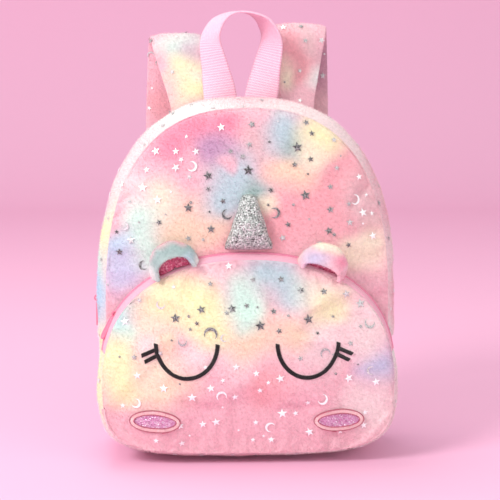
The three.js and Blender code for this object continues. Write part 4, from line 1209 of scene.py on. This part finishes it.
# Sleeping eyes. Black satin stitch laid side by side across a curve, with two lashes at its
# outer end, embroidered through the pocket's plush.
FACE_X = -1.5 * MM
EYE_FROM_MIDDLE = 45.4 * MM
EYE_HEIGHT = 95.2 * MM
EYE_WIDE = 46 * MM
EYE_DROP = 26 * MM
EYE_LINE = 3.2 * MM
THREAD = 0.42 * MM
LASHES = [{"down": 0.16, "slope": 24, "long": 12 * MM}, {"down": 0.34, "slope": 27, "long": 11 * MM}]


stitch = pattern_of(
    "stitch",
    [(x, math.sin(turn) * 0.5, math.cos(turn) * tall) for x, tall in (
        (-0.5, 0.3), (-0.38, 0.85), (0.0, 1.0), (0.38, 0.85), (0.5, 0.3)) for turn in (
        -math.pi / 2, -math.pi / 4, 0, math.pi / 4, math.pi / 2)],
    [(a * 5 + b, a * 5 + 5 + b, a * 5 + 6 + b, a * 5 + 1 + b) for a in range(4) for b in range(4)],
)
satin_seed = random.Random(5)


def satin_line(path, wide, thread, rise, slant=0.25):
    """Stitches side by side along a path of (x, z) on the pocket, each laid across it."""
    spots = []
    covered = 0.0
    for here, ahead in zip(path, path[1:]):
        step = math.hypot(ahead[0] - here[0], ahead[1] - here[1])
        covered += step
        if covered < thread * 0.8:
            continue
        covered = 0.0
        spot, facing = seen_on(pocket_tree, *here)
        along = Vector((ahead[0] - here[0], 0, ahead[1] - here[1])).normalized()
        across = facing.cross(along) + along * slant
        size = Vector((wide * satin_seed.uniform(0.96, 1.04), thread * 1.25, rise))
        spots.append((spot + facing * 0.3 * MM, across, facing, size, satin_seed.random()))
    return spots


def satin(name, dark, light, rough):
    """Embroidery thread: smooth, a little darker or lighter from stitch to stitch."""
    material, tree, shader = finish_of(name, Roughness=rough, Sheen_Weight=0.15, Anisotropic=0.6)
    tone = put(tree, "ShaderNodeAttribute", attribute_name="tone").outputs["Fac"]
    fine = grain(tree, 1400)["Fac"]
    level = sum_of(tree, "MULTIPLY", tone, fine)
    coat(tree, shader, blend(tree, level, tint(dark), tint(light)), fine, 0.3, 0.1 * MM)
    return material


face_pieces = []
black_thread = satin("black_satin_thread", "#141114", "#4a4145", 0.38)
for name, side in (("left", -1), ("right", 1)):
    middle = FACE_X + side * EYE_FROM_MIDDLE
    count = 700
    arc = [(middle + side * EYE_WIDE / 2 * math.cos(math.pi * (1 + i / count)),
            EYE_HEIGHT + EYE_DROP * math.sin(math.pi * (1 + i / count))) for i in range(count + 1)]
    spots = satin_line(arc, EYE_LINE, THREAD, 1.1 * MM)
    for lash in LASHES:
        turn, slope = math.asin(lash["down"]), math.radians(lash["slope"])
        x, z = middle + side * EYE_WIDE / 2 * math.cos(turn), EYE_HEIGHT - EYE_DROP * math.sin(turn)
        path = [(x + side * lash["long"] * i / 120 * math.cos(slope),
                 z - lash["long"] * i / 120 * math.sin(slope)) for i in range(121)]
        spots += satin_line(path, EYE_LINE, THREAD, 1.0 * MM)
    eye = set_on_spots(name + "_eye_stitches", spots, stitch, black_thread)
    sewn(eye, "black_satin", name + "_eye")
    face_pieces.append(eye)

# Cheeks. An oval of lilac glitter cloth on each side, held down by a band of pale pink satin
# stitch with a thin row of rose stitches along each edge.
CHEEK_FROM_MIDDLE = 69.5 * MM
CHEEK_HEIGHT = 35 * MM
CHEEK_WIDE = 38 * MM
CHEEK_TALL = 17 * MM
CHEEK_BAND = 3.2 * MM
# the flakes' dark and light are partly the lilac itself and partly painted reflection; the near-white
# ones are painted glints
lilac_cloth = glitter("lilac_glitter_cloth", "#b9709f", "#e3b6d4", "#fff0fa", 0.6 * MM, 0.35)
pink_thread = satin("pink_satin_thread", "#fcd8da", "#fff2f2", 0.5)
rose_thread = satin("rose_satin_thread", "#b9566f", "#d87c90", 0.5)
for name, side, lean in (("left", -1, -2), ("right", 1, 0)):
    middle = FACE_X + side * CHEEK_FROM_MIDDLE
    lean = math.radians(lean)

    def cheek_at(turn, wide, tall):
        x, z = wide * math.cos(turn), tall * math.sin(turn)
        return (middle + x * math.cos(lean) - z * math.sin(lean),
                CHEEK_HEIGHT + x * math.sin(lean) + z * math.cos(lean))

    def patch_place(u, v):
        share = (1 - v) * 0.98 + 0.02
        x, z = cheek_at(2 * math.pi * u, (CHEEK_WIDE / 2 - CHEEK_BAND * 0.7) * share,
                        (CHEEK_TALL / 2 - CHEEK_BAND * 0.7) * share)
        spot, facing = seen_on(pocket_tree, x, z)
        return spot + facing * 1.0 * MM

    patch = grid(name + "_cheek_glitter", 48, 10, patch_place, loop=True)
    back_with_wall(patch, lilac_cloth, 0.7 * MM)
    sewn(patch, "lilac_glitter", name + "_cheek_patch")
    def cheek_ring(inset):
        return [cheek_at(2 * math.pi * i / 900, CHEEK_WIDE / 2 - inset, CHEEK_TALL / 2 - inset)
                for i in range(901)]

    oval = cheek_ring(CHEEK_BAND / 2)
    spots = satin_line(oval, CHEEK_BAND, THREAD, 1.5 * MM, 0.1)
    band = set_on_spots(name + "_cheek_stitches", spots, stitch, pink_thread)
    sewn(band, "pink_satin", name + "_cheek_band")
    edges = []
    for inset in (CHEEK_BAND, 0.0):
        edges += satin_line(cheek_ring(inset), 0.6 * MM, 0.5 * MM, 1.9 * MM, 0.5)
    outline = set_on_spots(name + "_cheek_outline", edges, stitch, rose_thread)
    sewn(outline, "pink_satin")
    face_pieces += [patch, band, outline]

# the face's pile grows clear of its print and its stitching
plush_sheet(pocket_front, "pocket_front_pile", pocket_plush, 1.0, 31, "plush_pocket",
            "pocket_front_panel", (0.208, 0.148), pocket_foil + face_pieces)

# Handle. A loop of pale pink webbing whose two ends are sewn side by side at the top seam; it
# turns over between them, so the left leg shows its inner face and the right leg its outer.
HANDLE_LEG = [(0.0, 0.0), (0.2, 0.05), (0.46, 0.5)]
HANDLE_TURNS = [
    {"up": 0.0, "turn": 1.0}, {"up": 0.2, "turn": 0.97}, {"up": 0.45, "turn": 0.6},
    {"up": 0.72, "turn": 0.4}, {"up": 0.9, "turn": 0.22}, {"up": 1.0, "turn": 0.0},
]
HANDLE_X = -2 * MM
HANDLE_BULGE = 8.5 * MM
HANDLE_SPRING = 0.72
WEBBING_WIDE = 28 * MM
WEBBING_THICK = 1.6 * MM
LEG_GAP = 3.4 * MM
SEWN_OFF = 0.3 * MM
handle_low, handle_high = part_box("handle")
handle_leg_y = back_high[1] + SEWN_OFF + WEBBING_THICK / 2
handle_tall = handle_high[2] - handle_low[2] - WEBBING_THICK / 2
leg_x = (WEBBING_WIDE + LEG_GAP) / 2


def smooth_curve(points):
    """A curve through points, evened out by the spacing between them, as a place at each share."""
    def at(share):
        place = share * (len(points) - 1)
        i = min(int(place), len(points) - 2)
        part = place - i
        one, two = points[i], points[i + 1]
        before = points[i - 1] if i > 0 else 2 * one - two
        after = points[i + 2] if i + 2 < len(points) else 2 * two - one
        gaps = [max((b - a).length ** 0.5, 1e-6) for a, b in ((before, one), (one, two), (two, after))]
        start = (one - before) / gaps[0] - (two - before) / (gaps[0] + gaps[1]) + (two - one) / gaps[1]
        end = (two - one) / gaps[1] - (after - one) / (gaps[1] + gaps[2]) + (after - two) / gaps[2]
        start, end = start * gaps[1], end * gaps[1]
        square, cube = part ** 2, part ** 3
        return (one * (2 * cube - 3 * square + 1) + start * (cube - 2 * square + part)
                + two * (3 * square - 2 * cube) + end * (cube - square))
    return at


def along_curve(curve, share):
    """Where a curve is at a share of its points, and the way it runs."""
    step = 0.002
    here = curve(share)
    way = curve(min(share + step, 1)) - curve(max(share - step, 0))
    return here, way.normalized()


def level_across(way):
    """The sideways direction that is square to the way a strap runs."""
    return (Vector((1, 0, 0)) - way * way.x).normalized()


def handle_spot(x, up):
    return Vector((HANDLE_X + x, handle_leg_y, handle_low[2] + handle_tall * up))


def handle_points():
    left = [handle_spot(-leg_x - HANDLE_BULGE * out, up) for up, out in HANDLE_LEG]
    right = [handle_spot(leg_x + HANDLE_BULGE * out, up) for up, out in reversed(HANDLE_LEG)]
    top = []
    for i in range(9):
        turn = math.pi * (1 - i / 8)
        top.append(handle_spot((leg_x + HANDLE_BULGE) * math.cos(turn),
                               HANDLE_SPRING + (1 - HANDLE_SPRING) * math.sin(turn)))
    return left + top + right


handle_curve = smooth_curve(handle_points())


def handle_place(u, v):
    here, way = along_curve(handle_curve, u)
    up = (here.z - handle_low[2]) / handle_tall
    turn = between_rows(HANDLE_TURNS, "up", up, "turn") * math.pi / 2
    side = Vector((0, 1, 0))
    side.rotate(Quaternion(way, turn if here.x < HANDLE_X else -turn))
    side = (side - way * side.dot(way)).normalized()
    return here + side * (v - 0.5) * WEBBING_WIDE


handle_weave = woven("pink_webbing_weave", "#fddbe7", "#ee9fbd", 1.5 * MM)
handle = measured_map(grid("handle_webbing", 260, 12, handle_place), 0.24, WEBBING_WIDE)
even = handle.modifiers.new("even", "SMOOTH")
even.iterations = 6
settle(handle)
back_with_wall(handle, handle_weave, WEBBING_THICK, 0)
sewn(handle, "webbing", "handle")

# Shoulder straps. Plush arms with a soft filling and a seam down each edge, sewn to the back
# under the handle. They stand up behind the bag, fold over and come down to their webbing.
STRAP_ROWS = [
    {"up": 0.0, "back": 0.0, "out": 0.0}, {"up": 0.16, "back": 0.01, "out": 0.0},
    {"up": 0.45, "back": 0.13, "out": 0.1}, {"up": 0.78, "back": 0.33, "out": 0.6},
    {"up": 0.95, "back": 0.44, "out": 0.9}, {"up": 1.0, "back": 0.64, "out": 1.0},
    {"up": 0.93, "back": 0.85, "out": 1.1}, {"up": 0.62, "back": 0.97, "out": 1.2},
    {"up": 0.1, "back": 1.0, "out": 1.3},
]
STRAP_WIDE = 46 * MM
STRAP_THICK = 8 * MM
STRAP_REACH = 42 * MM
STRAPS_X = -3 * MM
STRAP_TOP_X = 33 * MM
STRAP_CREST_X = 48 * MM
STRAP_END_X = 56 * MM
STRAP_FOOT = 224 * MM
STRAP_PAD_END = 112 * MM
STRAP_DYES = [
    (-50, 55, 322, 22, "mint"), (-44, 50, 302, 15, "butter"), (-38, 50, 292, 10, "blush"),
    (-44, 48, 282, 16, "butter"), (-44, 88, 300, 26, "mauve"), (-70, 88, 306, 14, "salmon"),
    (-72, 86, 270, 22, "salmon"), (40, 50, 314, 20, "salmon"), (58, 52, 322, 14, "dusty"),
    (30, 48, 292, 12, "cream"), (46, 48, 296, 12, "salmon"), (62, 50, 292, 12, "white"),
    (70, 88, 300, 30, "plum"), (66, 88, 260, 26, "dusty"), (50, 85, 200, 40, "pink"),
    (-50, 85, 200, 40, "lavender"), (-55, 80, 140, 30, "cream"), (55, 80, 140, 30, "sky"),
]
strap_plush = plush("strap_plush", "pink", STRAP_DYES)
strap_seat = back_high[1] + SEWN_OFF + STRAP_THICK / 2
strap_curves = {}
for name, side in (("left", -1), ("right", 1)):
    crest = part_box(name + "_strap_pad")[1][2] - STRAP_THICK / 2
    splay = side * (STRAP_CREST_X - STRAP_TOP_X)
    points = [Vector((
        STRAPS_X * min(row["out"], 1) + side * STRAP_TOP_X + splay * row["out"],
        strap_seat + STRAP_REACH * row["back"],
        STRAP_FOOT + (crest - STRAP_FOOT) * row["up"])) for row in STRAP_ROWS]
    points.append(Vector((side * STRAP_END_X, strap_seat + STRAP_REACH * 0.82, STRAP_PAD_END)))
    curve = smooth_curve(points)
    strap_curves[name] = curve

    def pad_place(u, v):
        here, way = along_curve(curve, v)
        across = level_across(way)
        face = way.cross(across)
        turn = 2 * math.pi * u
        c, s = math.cos(turn), math.sin(turn)
        right = math.copysign(abs(c) ** 0.75, c)
        thick = STRAP_THICK * (1 - 0.72 * abs(right) ** 4)
        lump = 1 + 0.12 * noise.noise(here / (20 * MM) + Vector((right * 2, 0, side)))
        high = math.copysign(abs(s) ** 0.7, s) * thick / 2 * lump
        return here + across * right * STRAP_WIDE / 2 + face * high

    pad = tube(name + "_strap_cloth", 40, 150, pad_place)
    pad.data.materials.append(strap_plush)
    pressed = print_foil(name + "_strap", *scattered(pad, 90, 52, 12 * MM))
    fuzz = grow_pile(pad, name + "_strap_pile", strap_plush, 0.45, 51, pressed)
    sewn(pad, "plush_straps", name + "_strap_pad")
    sewn(fuzz, "plush_straps")

# Lower straps. Each runs as bare webbing from the pad through a plastic slide to a plush tab
# at the foot of the back, where it is stitched down.
TAB_IN = 35 * MM
TAB_HEIGHT = 30 * MM
TAB_SIZE = 36 * MM
slide_plastic = cast_in("slide_plastic", "#e58fae", "#f4aac4", 500, 2, 0.15, Roughness=0.42)
for name, side in (("left", -1), ("right", 1)):
    tab_low, tab_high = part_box(name + "_corner_tab")
    tab_x = side * (front_high[0] + SEAM_INSET - TAB_IN)
    curve = strap_curves[name]
    start, way = along_curve(curve, 1.0)
    start = start + way * SEWN_OFF
    lead = start + way * WEBBING_WIDE / 2
    end = Vector((tab_x, tab_high[1] + SEWN_OFF + WEBBING_THICK / 2, TAB_HEIGHT))
    middle = (lead + end) / 2 + Vector((0, STRAP_REACH * 0.05, 0))
    landing = Vector((tab_x, end.y + WEBBING_THICK, TAB_HEIGHT + TAB_SIZE * 0.4))
    web_curve = smooth_curve([start, lead, middle, landing, end])

    def web_place(u, v):
        here, way = along_curve(web_curve, u)
        across = level_across(way)
        return here + across * (v - 0.5) * WEBBING_WIDE

    web = measured_map(grid(name + "_strap_web", 70, 10, web_place), 0.11, WEBBING_WIDE)
    back_with_wall(web, handle_weave, WEBBING_THICK, 0)
    sewn(web, "webbing", name + "_strap_webbing")
    slide = name + "_strap_slide"
    rounded_copy(slide + "_moulded", slide, slide_plastic, 0.5 * MM, BAG)

    def tab_place(u, v):
        wide = (TAB_SIZE + (WEBBING_WIDE - TAB_SIZE) * v) / 2
        swell = 1.0 * MM * math.sin(math.pi * u) * math.sin(math.pi * v) - 0.5 * MM
        height = tab_low[2] + (tab_high[2] - tab_low[2]) * v
        return tab_x + (2 * u - 1) * wide, tab_high[1] + swell, height

    tab = grid(name + "_tab_cloth", 18, 16, tab_place)
    plush_sheet(tab, name + "_tab_pile", back_plush, 0.8, 61, "plush_straps", name + "_corner_tab",
                (0.036, 0.028), wall=2.2 * MM)
